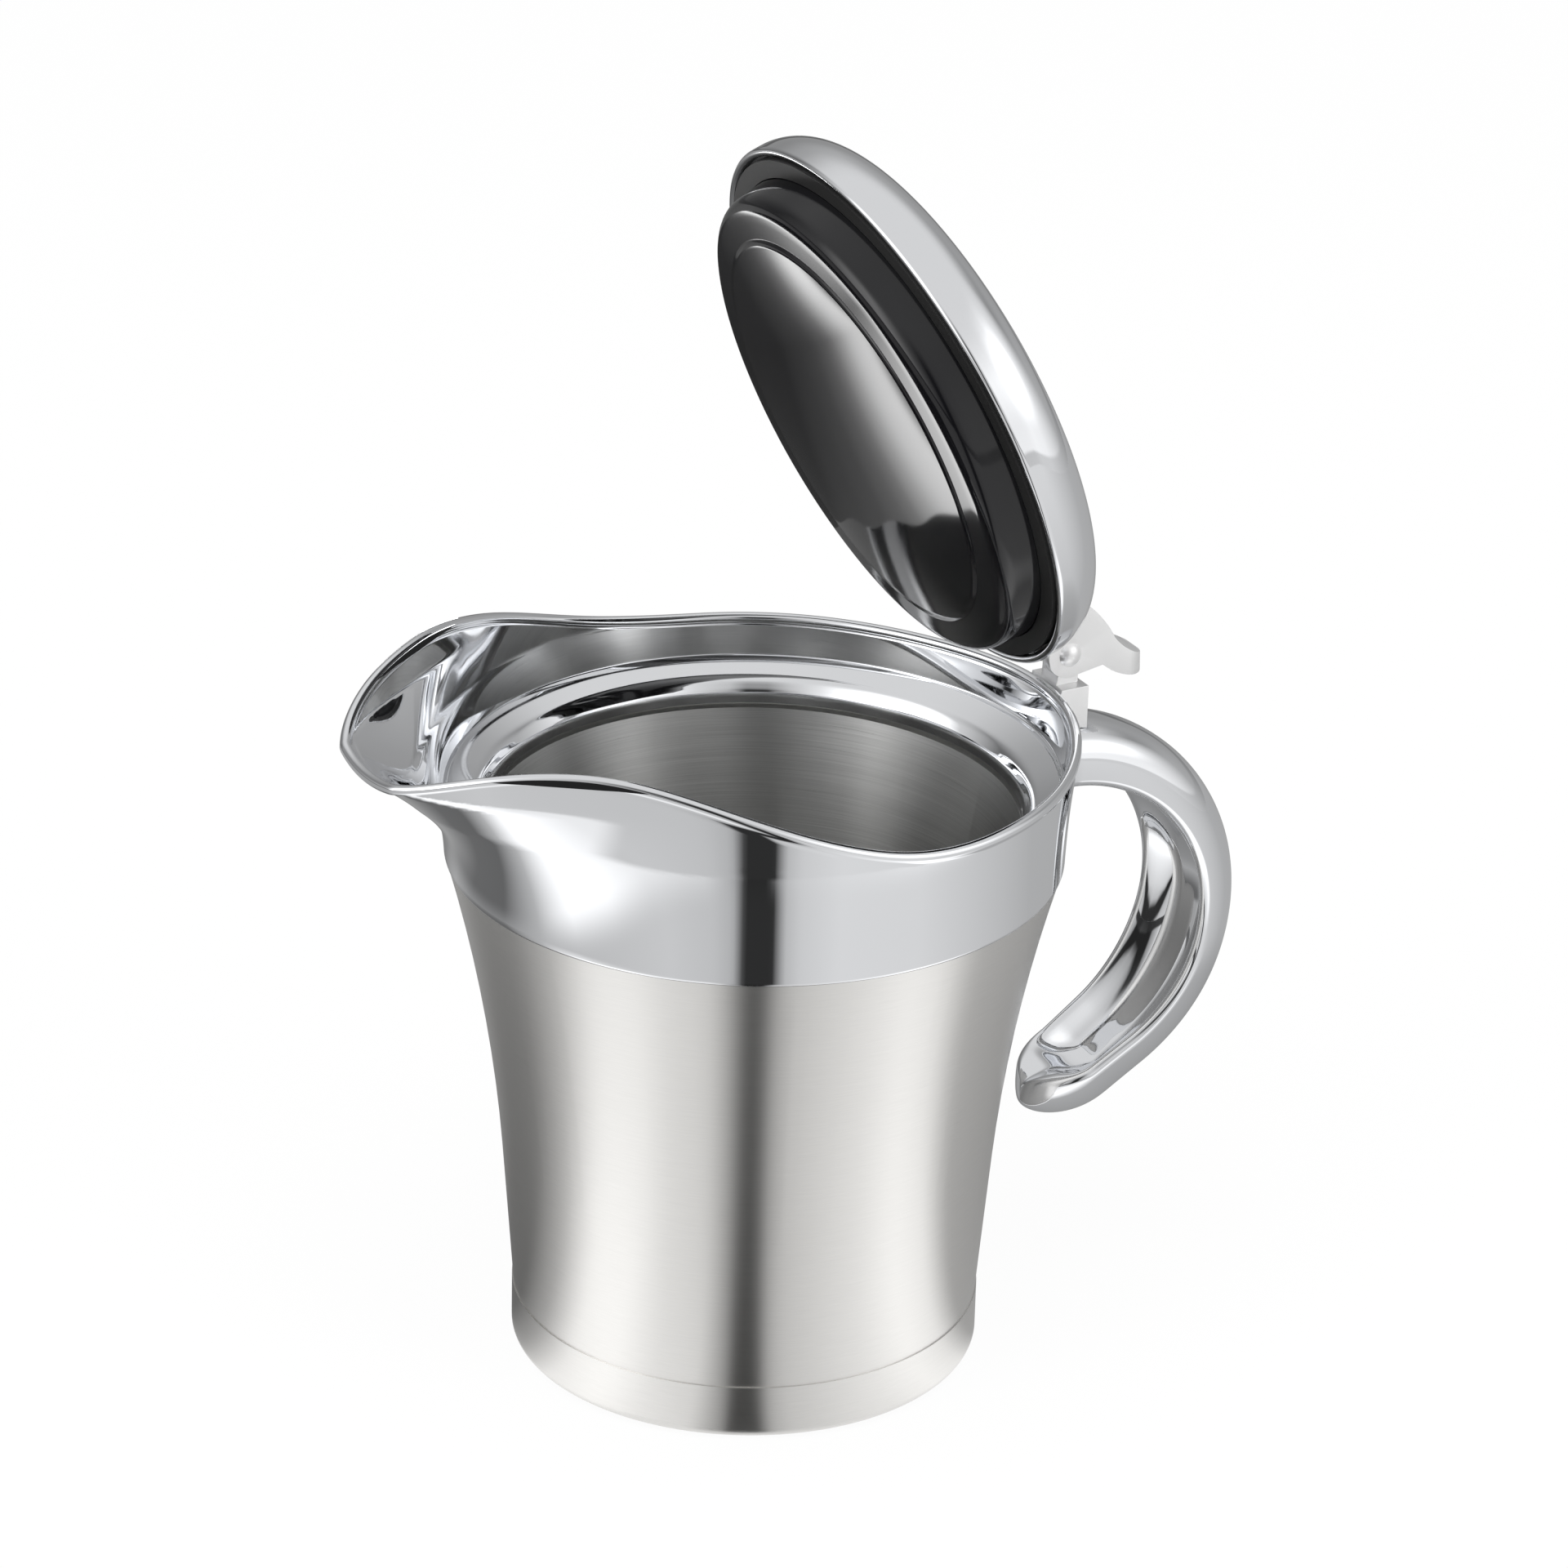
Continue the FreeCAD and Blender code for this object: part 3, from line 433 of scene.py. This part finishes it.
def wave_height(place):
    """Height of the rim at a distance towards the spout: cubic pieces with set slopes."""
    start = np.clip(np.searchsorted(WAVE_PLACES, place) - 1, 0, len(WAVE_PLACES) - 2)
    gap = WAVE_PLACES[start + 1] - WAVE_PLACES[start]
    part = np.clip((place - WAVE_PLACES[start]) / gap, 0, 1)
    low, high = WAVE_HEIGHTS[start], WAVE_HEIGHTS[start + 1]
    leave, meet = WAVE_SLOPES[start] * gap, WAVE_SLOPES[start + 1] * gap
    past = np.maximum(place - WAVE_PLACES[-1], 0) * WAVE_SLOPES[-1]
    return (low + (high - low) * part ** 2 * (3 - 2 * part) + leave * part * (1 - part) ** 2
            - meet * part ** 2 * (1 - part) + past)


def spout_share(angle):
    """Share of the spout's throw at an angle round the cup.

    The rim's plan is a circle, two straight sides tangent to it and a round tip. Averaging over
    a few near angles eases one into the next.
    """
    spread = np.linspace(-0.14, 0.14, 9)
    away = np.abs(np.pi - np.mod(np.asarray(angle)[..., None] + spread, 2 * np.pi))
    reach = RIM_RADIUS + SPOUT_THROW
    centre = reach - TIP_RADIUS
    leave = np.arccos((RIM_RADIUS - TIP_RADIUS) / centre)
    tip_end = np.arctan2(TIP_RADIUS * np.sin(leave), centre + TIP_RADIUS * np.cos(leave))
    side = RIM_RADIUS / np.cos(np.clip(leave - away, 0, 1.4))
    inside = np.maximum(TIP_RADIUS ** 2 - (centre * np.sin(away)) ** 2, 0)
    tip = centre * np.cos(away) + np.sqrt(inside)
    length = np.where(away < tip_end, tip, np.where(away < leave, side, RIM_RADIUS))
    return 1.026 * (length.mean(-1) - RIM_RADIUS) / SPOUT_THROW


def collar_length(angle, height):
    """Distance from the axis to the collar's outside at an angle and a height."""
    side = np.clip((height - SEAM_HEIGHT) / LOW_RISE, 0, 1)
    rise = np.maximum(height - SEAM_HEIGHT, 0) / TIP_RISE
    throw = np.where(rise > 1, 1 + 0.15 * (rise - 1), 0.1 * rise + 0.9 * rise ** 2.3)
    radius = FOOT_RADIUS + (RIM_RADIUS - FOOT_RADIUS) * side + RIM_FLARE * side ** 3
    back_angle = np.mod(angle + np.pi, 2 * np.pi) - np.pi
    back = BACK_REACH * side ** 2 * np.exp(-(back_angle / BACK_SPREAD) ** 2)
    return radius + SPOUT_THROW * throw * spout_share(angle) + back


def collar_rings(bead=1.0, fillet=0.45, around=360):
    """Rings of the collar: up the outside, over the rolled rim, down the inside and back below.

    The rim's height at each angle is found by repeated tries, because it follows how far out
    the wall has come at that height. The bead is an arc about a point inside the wall's top.
    """
    turn = np.linspace(0, 2 * np.pi, around, endpoint=False)
    angle = turn - 0.22 * np.sin(2 * turn)
    rim = np.full(around, RIM_LOW)
    for _ in range(30):
        rim = wave_height(-collar_length(angle, rim) * np.cos(angle))
    middle = rim - bead
    share = np.linspace(0, 1, 40)[:, None]
    foot = np.array([0.0, 0.12, 0.3])[:, None]
    foot_rows = [FOOT_RADIUS - 0.3 + np.sqrt(0.09 - (0.3 - foot) ** 2) + 0 * angle, SEAM_HEIGHT + foot + 0 * angle]
    height = SEAM_HEIGHT + 0.5 + (middle - 0.9 - SEAM_HEIGHT - 0.5) * share
    outside = [collar_length(angle, height), height]
    arc = np.radians(np.linspace(-40, 220, 15))[:, None]
    centre = collar_length(angle, middle) - WALL / 2
    rolled = [centre + bead * np.cos(arc), middle + bead * np.sin(arc)]
    height = middle - 0.9 + (LEDGE_HEIGHT + 1.5 * fillet - middle + 0.9) * share
    filled = SPOUT_FILL * spout_share(angle)
    inside = [collar_length(angle, height) - WALL - filled * share, height]
    bend = np.linspace(0, np.pi / 2, 5)[:, None]
    corner = collar_length(angle, LEDGE_HEIGHT + fillet) - WALL - filled - fillet
    hollow = [corner + fillet * np.cos(bend), LEDGE_HEIGHT + fillet - fillet * np.sin(bend) + 0 * angle]
    low = rounded([(50.4, 104.2, 0.5), (46.3, 102.35, 0.9), (44.9, 100.0, 0.6), (44.9, 98.0, 0.1),
                   (50.15, 98.0, 0.1), (50.15, 91.2, 0.1), (51.9, 91.2, 0.1)])
    below = [low[:, :1] + 0 * angle, low[:, 1:] + 0 * angle]
    rows = (foot_rows, outside, rolled, inside, hollow, below)
    length, height = (np.vstack([row[part] for row in rows]) for part in (0, 1))
    return np.stack([length * np.cos(angle), length * np.sin(angle), height], -1)


def lid_profile():
    """Half section of the lid's shell: crown and shoulder outside, a rolled hem, and inside again.

    The crown is a shallow sphere and the shoulder a quarter of an ellipse that meets it.
    """
    radius, wall = 48.4, 0.8
    side = MOUTH_HEIGHT + 2.6
    slope = np.linspace(0, np.pi / 2, 25)[::-1]
    crown = np.linspace(0.5, 39.6, 22)
    crown_height = MOUTH_HEIGHT + 14.4 - 3.2 * (crown / 39.8) ** 2
    outer = np.stack([39.8 + 8.6 * np.cos(slope), side + 8.6 * np.sin(slope)], -1)
    hem = np.array([(radius, MOUTH_HEIGHT + 1.6), (radius, MOUTH_HEIGHT + 0.9)])
    roll = np.linspace(0, np.pi, 9)
    rolled = np.stack([radius - 0.75 + 0.75 * np.cos(roll), MOUTH_HEIGHT + 0.75 - 0.75 * np.sin(roll)], -1)
    turned_in = np.array([(radius - 1.5, MOUTH_HEIGHT + 1.0), (radius - 1.5, MOUTH_HEIGHT + 1.2),
                          (radius - wall, MOUTH_HEIGHT + 1.4), (radius - wall, side)])
    inner = np.stack([39.8 + 7.8 * np.cos(slope[::-1]), side + 7.8 * np.sin(slope[::-1])], -1)
    under = np.stack([crown[::-1], crown_height[::-1] - wall], -1)
    return np.vstack([np.stack([crown, crown_height], -1), outer, hem, rolled, turned_in, inner[1:], under])


def plug_profile():
    """Half section of the lid's plug: shallow dome, crease, round bead, wall, flange and inside."""
    rise = MOUTH_HEIGHT
    dome = np.linspace(0.5, 35.6, 30)
    height = rise - 11.4 + 3.8 * (dome / 36.65) ** 2
    outer = rounded([(36.65, rise - 7.6, 0.7), (42.4, rise - 7.0, 2.6), (43.2, rise + 1.2, 0.35),
                     (47.1, rise + 1.2, 0.25), (47.1, rise + 2.7, 0.2)], 9)
    inner = np.array([(41.4, rise + 2.7), (40.6, rise - 5.2), (34.0, rise - 5.9), (0.5, rise - 9.6)])
    return np.vstack([np.stack([dome, height], -1), outer, inner])


def eased(share, low, high):
    """Smooth step from low to high as a share goes from 0 to 1."""
    share = np.clip(share, 0, 1)
    return low + (high - low) * share * share * (3 - 2 * share)


def hook_rings(around=96):
    """Rings of the handle's hook, from the collar to the last ring before its end.

    The lips' line is an arc, a straight and a tighter arc. Each ring is a full outer curve, a
    power of an ellipse, and an inner side that steps down from two round lips to a flat floor.
    Ring sizes follow a quarter circle over the last stretch, which closes the end.
    """
    top, bottom, tail_turn = np.radians([96.0, -57.4, 44.0])
    radius, straight, tail, end_half = 28.9, 8.0, 13.4, 8.9
    first = radius * (top - bottom)
    length = first + straight + tail * tail_turn
    closing = end_half * (1 - np.sin(np.linspace(0, np.pi / 2, 26)))
    way = np.concatenate([np.linspace(0, 1, 7) ** 2 * 5, np.linspace(5, length - end_half, 120)[1:],
                          length - closing[1:-1]])[:, None]
    angle = np.where(way <= first, top - way / radius, bottom)
    turn = bottom - np.clip(way - first - straight, 0, None) / tail
    angle = np.where(way > first + straight, turn, angle)
    run = np.clip(way - first, 0, straight)
    bend = np.maximum(angle, bottom)
    centre_x = 56.3 + radius * np.cos(bend) + run * np.sin(bottom) - tail * np.cos(bottom) * (way > first + straight)
    centre_z = 67.0 + radius * np.sin(bend) - run * np.cos(bottom) - tail * np.sin(bottom) * (way > first + straight)
    centre_x = centre_x + tail * np.cos(angle) * (way > first + straight)
    centre_z = centre_z + tail * np.sin(angle) * (way > first + straight)
    share = way / length
    flare = np.clip(1 - way / 5, 0, 1) ** 2
    half = eased(share / 0.42, 8.6, 10.85) + eased((share - 0.6) / 0.4, 0, end_half - 10.85) + 1.6 * flare
    depth = eased(share / 0.4, 8.6, 8.45) + eased((share - 0.5) / 0.5, 0, 0.25)
    trough = eased((share - 0.24) / 0.30, 0.0, 4.9) * eased((length - way - 3) / 10, 0, 1)
    square = eased(share / 0.35, 2.8, 2.1)
    close = np.sqrt(1 - np.clip(1 - (length - way) / end_half, 0, 1) ** 2)
    phase = np.linspace(0, 2 * np.pi, around, endpoint=False)
    reach = np.abs(np.cos(phase)) ** (2 / square)
    outer = (depth + 0.8 * flare) * np.abs(np.sin(phase)) ** (2 / square)
    lips = 0.42 * depth * np.abs(np.cos(phase)) ** 1.2 * np.abs(np.sin(phase)) + flare
    inner = trough * eased((1 - (reach / 0.9) ** 2) / 0.8, 0, 1) * close - lips
    out = np.where(np.sin(phase) >= 0, outer, inner)
    middle = 0.42 * depth
    out = middle + (out - middle) * close ** 0.6
    wide = half * close * reach * np.sign(np.cos(phase))
    rings = np.stack([centre_x + out * np.cos(angle), wide, centre_z + out * np.sin(angle)], -1)
    root = collar_length(np.arctan2(rings[0, :, 1], RIM_RADIUS), rings[0, :, 2])
    rings[0, :, 0] = np.sqrt(root ** 2 - rings[0, :, 1] ** 2) - 0.8
    end = np.array([centre_x[-1, 0], 0, centre_z[-1, 0]]) + middle[-1] * np.array(
        [np.cos(angle[-1, 0]), 0, np.sin(angle[-1, 0])])
    past = rings[-1].mean(0) - rings[-2].mean(0)
    return rings, (rings[0].mean(0), end + past * 0.3)


def saddle_rings(around=64):
    """Thin plate on the collar under the handle's root, as rings of a rounded square.

    The rings grow from the middle to the edge, drop over the edge and come back inside the wall.
    """
    phase = np.linspace(0, 2 * np.pi, around, endpoint=False)
    stretch = (np.abs(np.cos(phase)) ** 8 + np.abs(np.sin(phase)) ** 8) ** (-1 / 8)
    size = np.array([0.05, 0.3, 0.6, 0.85, 0.95, 0.98, 0.995, 1.0, 0.9, 0.5, 0.05])[:, None]
    lift = np.array([0.7, 0.7, 0.7, 0.7, 0.7, 0.6, 0.4, -0.3, -0.5, -0.5, -0.5])[:, None]
    across = 11.0 * size * stretch * np.cos(phase)
    height = 98.6 + 7.1 * size * stretch * np.sin(phase)
    length = collar_length(np.arctan2(across, RIM_RADIUS), height) + lift
    return np.stack([np.sqrt(length ** 2 - across ** 2), across, height], -1)


def softened(node, body, width, material):
    """A node's shape with its edges rounded by a bevel of one width."""
    mesh = frame["nodes"][node].data.copy()
    work = bmesh.new()
    work.from_mesh(mesh)
    bmesh.ops.remove_doubles(work, verts=work.verts, dist=1e-6)
    bmesh.ops.dissolve_limit(work, angle_limit=math.radians(1), verts=work.verts, edges=work.edges)
    work.to_mesh(mesh)
    work.free()
    mesh.name = node + "_soft"
    piece = bpy.data.objects.new(node + "_soft", mesh)
    bpy.context.scene.collection.objects.link(piece)
    bevel = piece.modifiers.new("edges", "BEVEL")
    bevel.width = width
    bevel.segments = 3
    bevel.limit_method = "ANGLE"
    bevel.angle_limit = math.radians(35)
    bevel.harden_normals = True
    mesh.shade_smooth()
    mesh.materials.clear()
    mesh.materials.append(material)
    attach(piece, body)
    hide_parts(node)
    return piece


def card(name, points, faces, material, seen_by_metal_only=True):
    """Sheet of the studio, not part of the jug; one seen by metal only glows there as painted reflection."""
    mesh = bpy.data.meshes.new(name)
    mesh.from_pydata(np.asarray(points).tolist(), [], faces)
    mesh.materials.append(material)
    made = bpy.data.objects.new(name, mesh)
    bpy.context.scene.collection.objects.link(made)
    if seen_by_metal_only:
        made.visible_camera = False
        made.visible_diffuse = False
        made.visible_shadow = False
        made.visible_transmission = False
    return made


def round_card(name, profile, material, around=180):
    """Card round the jug through circles, each given as (radius, height) in metres."""
    angle = np.linspace(0, 2 * np.pi, around, endpoint=False)
    rows = [np.stack([r * np.cos(angle), r * np.sin(angle), z + 0 * angle], -1) for r, z in profile]
    index = np.arange(len(profile) * around).reshape(-1, around)
    low, high = index[:-1], index[1:]
    faces = np.stack([low, np.roll(low, -1, 1), np.roll(high, -1, 1), high], -1).reshape(-1, 4)
    return card(name, np.vstack(rows), faces.tolist(), material)


def direction_grey(finish, share, *stops):
    """Grey of a painted reflection by the direction from the jug, in stops of degrees to the right of the camera."""
    return finish.ramp(share, *(((degrees + 180) / 360, grey / BRIGHTEST) for degrees, grey in stops))


def glowing(finish, grey):
    # Glow of a sheet that is no lamp: painted reflection where the metal sees it
    glow = finish.node("ShaderNodeEmission", None, {"Color": grey, "Strength": BRIGHTEST})
    finish.node_output(glow)
    return finish.material


def table_reflection_paint():
    """Glowing grey sheet on the table, seen only by the metal as painted reflection: two light sides and a dark gap
    in front.

    The brushed wall reflects the part near the jug and the polished collar the part beyond.
    """
    finish = Finish("table_reflection_paint")
    angle, out, z = finish.around(turn_z=CAMERA_AZIMUTH)
    share = angle / (2 * math.pi) + 0.5
    near = direction_grey(
        finish, share,
        (-180, 0.3), (-159, 0.4), (-119, 0.15), (-95, 0.14), (-76, 0.5), (-59, 1.25), (-43, 1.25),
        (-29, 0.98), (-14, 0.92), (-5, 0.35), (-2.5, 0.02), (5, 0.02), (9, 0.55), (14, 0.72), (28, 0.86),
        (43, 1.02), (59, 1.32), (74, 1.2), (88, 0.45), (118, 0.38), (159, 0.25), (180, 0.3))
    far = direction_grey(
        finish, share,
        (-180, 0.20), (-152, 0.24), (-135, 0.46), (-108, 0.38), (-87, 0.43), (-54, 0.58), (-26, 0.66),
        (-12, 0.60), (-6, 0.50), (-2.5, 0.03), (7, 0.03), (11, 0.55), (16, 0.68), (29, 0.78), (57, 0.76),
        (91, 0.58), (112, 0.47), (144, 0.43), (180, 0.20))
    return glowing(finish, finish.blend(finish.step(out, 0.15, 0.20), near, far))


def tent_reflection_paint():
    """Glowing tent round the jug, seen only by the metal as painted reflection: dark at the table's edge, two
    painted soft boxes above, an even ceiling.
    """
    finish = Finish("tent_reflection_paint")
    angle, out, z = finish.around(turn_z=CAMERA_AZIMUTH)
    share = angle / (2 * math.pi) + 0.5
    edge = direction_grey(finish, share, (-180, 0.12), (-90, 0.14), (0, 0.03), (60, 0.7), (77, 0.7),
                          (100, 0.55), (140, 0.3), (180, 0.12))
    lower = direction_grey(finish, share, (-180, 0.30), (-122, 0.15), (-97, 0.7), (-78, 2.4), (-60, 2.9),
                           (-44, 1.9), (-29, 1.0), (-14, 0.5), (-7, 0.3), (-4, 0.02), (6, 0.02), (10, 0.4),
                           (29, 0.75), (44, 0.95), (60, 1.05), (77, 1.0), (95, 0.8), (120, 0.45),
                           (150, 0.35), (180, 0.30))
    upper = direction_grey(finish, share, (-180, 0.45), (-122, 0.25), (-97, 0.7), (-78, 2.4), (-60, 2.9),
                           (-44, 1.9), (-29, 1.0), (-14, 0.5), (-4, 0.05), (6, 0.05), (14, 0.5), (29, 0.75),
                           (44, 1.2), (60, 1.9), (77, 2.2), (97, 1.0), (122, 0.3), (180, 0.45))
    grey = finish.blend(finish.step(z, 0.11, 0.16), edge, lower)
    grey = finish.blend(finish.step(z, 0.35, 0.95), grey, upper)
    ceiling = CEILING / BRIGHTEST
    grey = finish.blend(finish.step(z, 0.85, 1.75), grey, (ceiling, ceiling, ceiling, 1.0))
    return glowing(finish, grey)


def plug_highlight_paint():
    """Glowing sheet above the mouth that only the open lid's plug sees, a painted highlight: bright on one side,
    fading to dark.

    It ends in a wavy line, past which the plug reflects the jug's mouth. From below it is clear.
    """
    finish = Finish("plug_highlight_paint")
    across, along, z = finish.place(turn_z=PLUG_HIGHLIGHT_TURN)
    fade = across - (along - 0.08).math("MAXIMUM", 0.0) * 0.7
    grey = finish.ramp(fade / 0.12 + 1 / 6, *(((place + 20) / 120, grey / PLUG_HIGHLIGHT_GLOW) for place, grey in (
        (-20, 0.02), (-13, 0.05), (-8, 6.5), (0, 4.6), (6, 2.5), (12, 1.05), (17, 0.6), (25, 0.3),
        (35, 0.18), (50, 0.08), (80, 0.05))))
    glow = finish.node("ShaderNodeEmission", None, {"Color": grey, "Strength": PLUG_HIGHLIGHT_GLOW})
    past = (along - across * 0.42 - (across * 350.0).math("SINE") * 0.0012).math("GREATER_THAN", 0.0)
    below = finish.node("ShaderNodeNewGeometry", output=6)
    clear = finish.node("ShaderNodeBsdfTransparent")
    finish.node_output(finish.node("ShaderNodeMixShader", None, {0: past * (1 - below), 1: clear, 2: glow}))
    return finish.material


def floor_material():
    """Pale floor: lit, so that it keeps a shadow, and white where camera and metal see it."""
    finish = Finish("floor")
    diffuse = finish.node("ShaderNodeBsdfDiffuse", None, {"Color": (0.95, 0.95, 0.95, 1.0)})
    glow = finish.node("ShaderNodeEmission", None, {"Color": (1.0, 1.0, 1.0, 1.0), "Strength": 1.0})
    path = finish.node("ShaderNodeLightPath")
    outputs = path.socket.node.outputs
    seen = Value(finish, outputs["Is Camera Ray"]) + Value(finish, outputs["Is Glossy Ray"])
    seen = seen + Value(finish, outputs["Is Transmission Ray"])
    mixed = finish.node("ShaderNodeMixShader", None, {0: seen * 0.93, 1: diffuse, 2: glow})
    finish.node_output(mixed)
    return finish.material


def studio_world():
    """White background for camera and metal, and softer light for everything else."""
    world = bpy.data.worlds.new("studio")
    world.use_nodes = True
    tree = world.node_tree
    path = tree.nodes.new("ShaderNodeLightPath")
    level = tree.nodes.new("ShaderNodeMapRange")
    level.inputs["To Min"].default_value = 1.0
    level.inputs["To Max"].default_value = 0.7
    tree.links.new(path.outputs["Is Diffuse Ray"], level.inputs["Value"])
    tree.links.new(level.outputs[0], tree.nodes["Background"].inputs["Strength"])
    tree.nodes["Background"].inputs["Color"].default_value = (1, 1, 1, 1)
    return world


def lamp(name, place, aim, size, watts):
    data = bpy.data.lights.new(name, "AREA")
    data.shape = "RECTANGLE"
    data.size, data.size_y = size
    data.energy = watts
    made = bpy.data.objects.new(name, data)
    made.location = place
    made.rotation_mode = "QUATERNION"
    made.rotation_quaternion = (Vector(place) - Vector(aim)).to_track_quat("Z", "Y")
    made.visible_glossy = False
    bpy.context.scene.collection.objects.link(made)
    return made


class JUG_OT_stage(bpy.types.Operator):
    """Set up the floor, the lights and the camera"""
    bl_idname = "jug.stage"
    bl_label = "Stage"

    def execute(self, context):
        scene = context.scene
        settings = scene.jug_stage
        edge = 6.0
        card("floor", [(-edge, -edge, -0.0004), (edge, -edge, -0.0004), (edge, edge, -0.0004),
                       (-edge, edge, -0.0004)], [(0, 1, 2, 3)], floor_material(), False)
        # Glowing cards seen only by the metal paint its reflections; this one paints light sides and a dark gap
        # below the jug
        round_card("painted_table_reflection_card", ((0.041, -0.0002), (1.5, -0.0002)), table_reflection_paint())
        # Painted reflection of soft boxes and an even ceiling, glowing only where the metal sees it
        round_card("painted_tent_reflection_card", ((1.5, 0.0), (1.5, 0.5), (1.5, 1.1), (1.35, 1.5), (1.0, 1.8), (0.5, 1.97),
                                 (0.001, 2.02)), tent_reflection_paint())
        # Painted highlight on the open lid's plug: a glowing sheet that only the metal and plastic reflections see
        card("painted_plug_highlight_card", [(-0.12, -0.05, 0.125), (0.10, -0.05, 0.125), (0.10, 0.20, 0.125),
                           (-0.12, 0.20, 0.125)], [(0, 1, 2, 3)], plug_highlight_paint())
        middle = (0.0, 0.0, 0.09)
        lamp("top_box", (-0.3, -0.3, 1.9), middle, (1.4, 1.4), 12)
        lamp("left_box", (-1.3, -0.3, 0.9), middle, (0.6, 1.0), 5)
        lamp("right_box", (0.6, -1.2, 0.9), middle, (0.6, 1.0), 5)
        scene.world = studio_world()

        azimuth, pitch, roll = (math.radians(part) for part in (-29.23, 24.77, 1.5))
        back = Vector((math.sin(azimuth) * math.cos(pitch), -math.cos(azimuth) * math.cos(pitch),
                       math.sin(pitch)))
        side, top = look_matrix(back, roll)
        camera = bpy.data.objects.new("camera", bpy.data.cameras.new("camera"))
        camera.data.lens = settings.lens
        camera.data.sensor_width = 36.0
        camera.data.clip_start = 0.01
        place = Vector((0, 0, 0.0624)) + back * 1.112384 + side * 0.0056576 + top * 0.0369928
        turn = Matrix((side, top, back)).transposed()
        camera.matrix_world = Matrix.Translation(place) @ turn.to_4x4()
        scene.collection.objects.link(camera)
        scene.camera = camera
        scene.view_settings.view_transform = "Standard"
        return {"FINISHED"}


class JUG_PT_panel(bpy.types.Panel):
    """Lists the jug's operators and settings"""
    bl_label = "Sauce jug"
    bl_idname = "JUG_PT_panel"
    bl_space_type = "VIEW_3D"
    bl_region_type = "UI"
    bl_category = "Sauce jug"

    def draw(self, context):
        for operator in OPERATORS:
            self.layout.operator(operator.bl_idname)
        for group in ("jug_steel", "jug_plastic", "jug_stage"):
            settings = getattr(context.scene, group)
            for name in settings.__annotations__:
                self.layout.prop(settings, name)


GROUPS = {"jug_steel": SteelSettings, "jug_plastic": PlasticSettings, "jug_stage": StageSettings}
OPERATORS = (JUG_OT_metal, JUG_OT_plastic, JUG_OT_stage)
CLASSES = (*GROUPS.values(), *OPERATORS, JUG_PT_panel)


def register():
    for cls in CLASSES:
        bpy.utils.register_class(cls)
    for name, group in GROUPS.items():
        setattr(bpy.types.Scene, name, PointerProperty(type=group))


def unregister():
    for name in GROUPS:
        delattr(bpy.types.Scene, name)
    for cls in reversed(CLASSES):
        bpy.utils.unregister_class(cls)


def main():
    register()
    bpy.ops.jug.metal()
    bpy.ops.jug.plastic()
    bpy.ops.jug.stage()


if __name__ == "__main__":
    main()
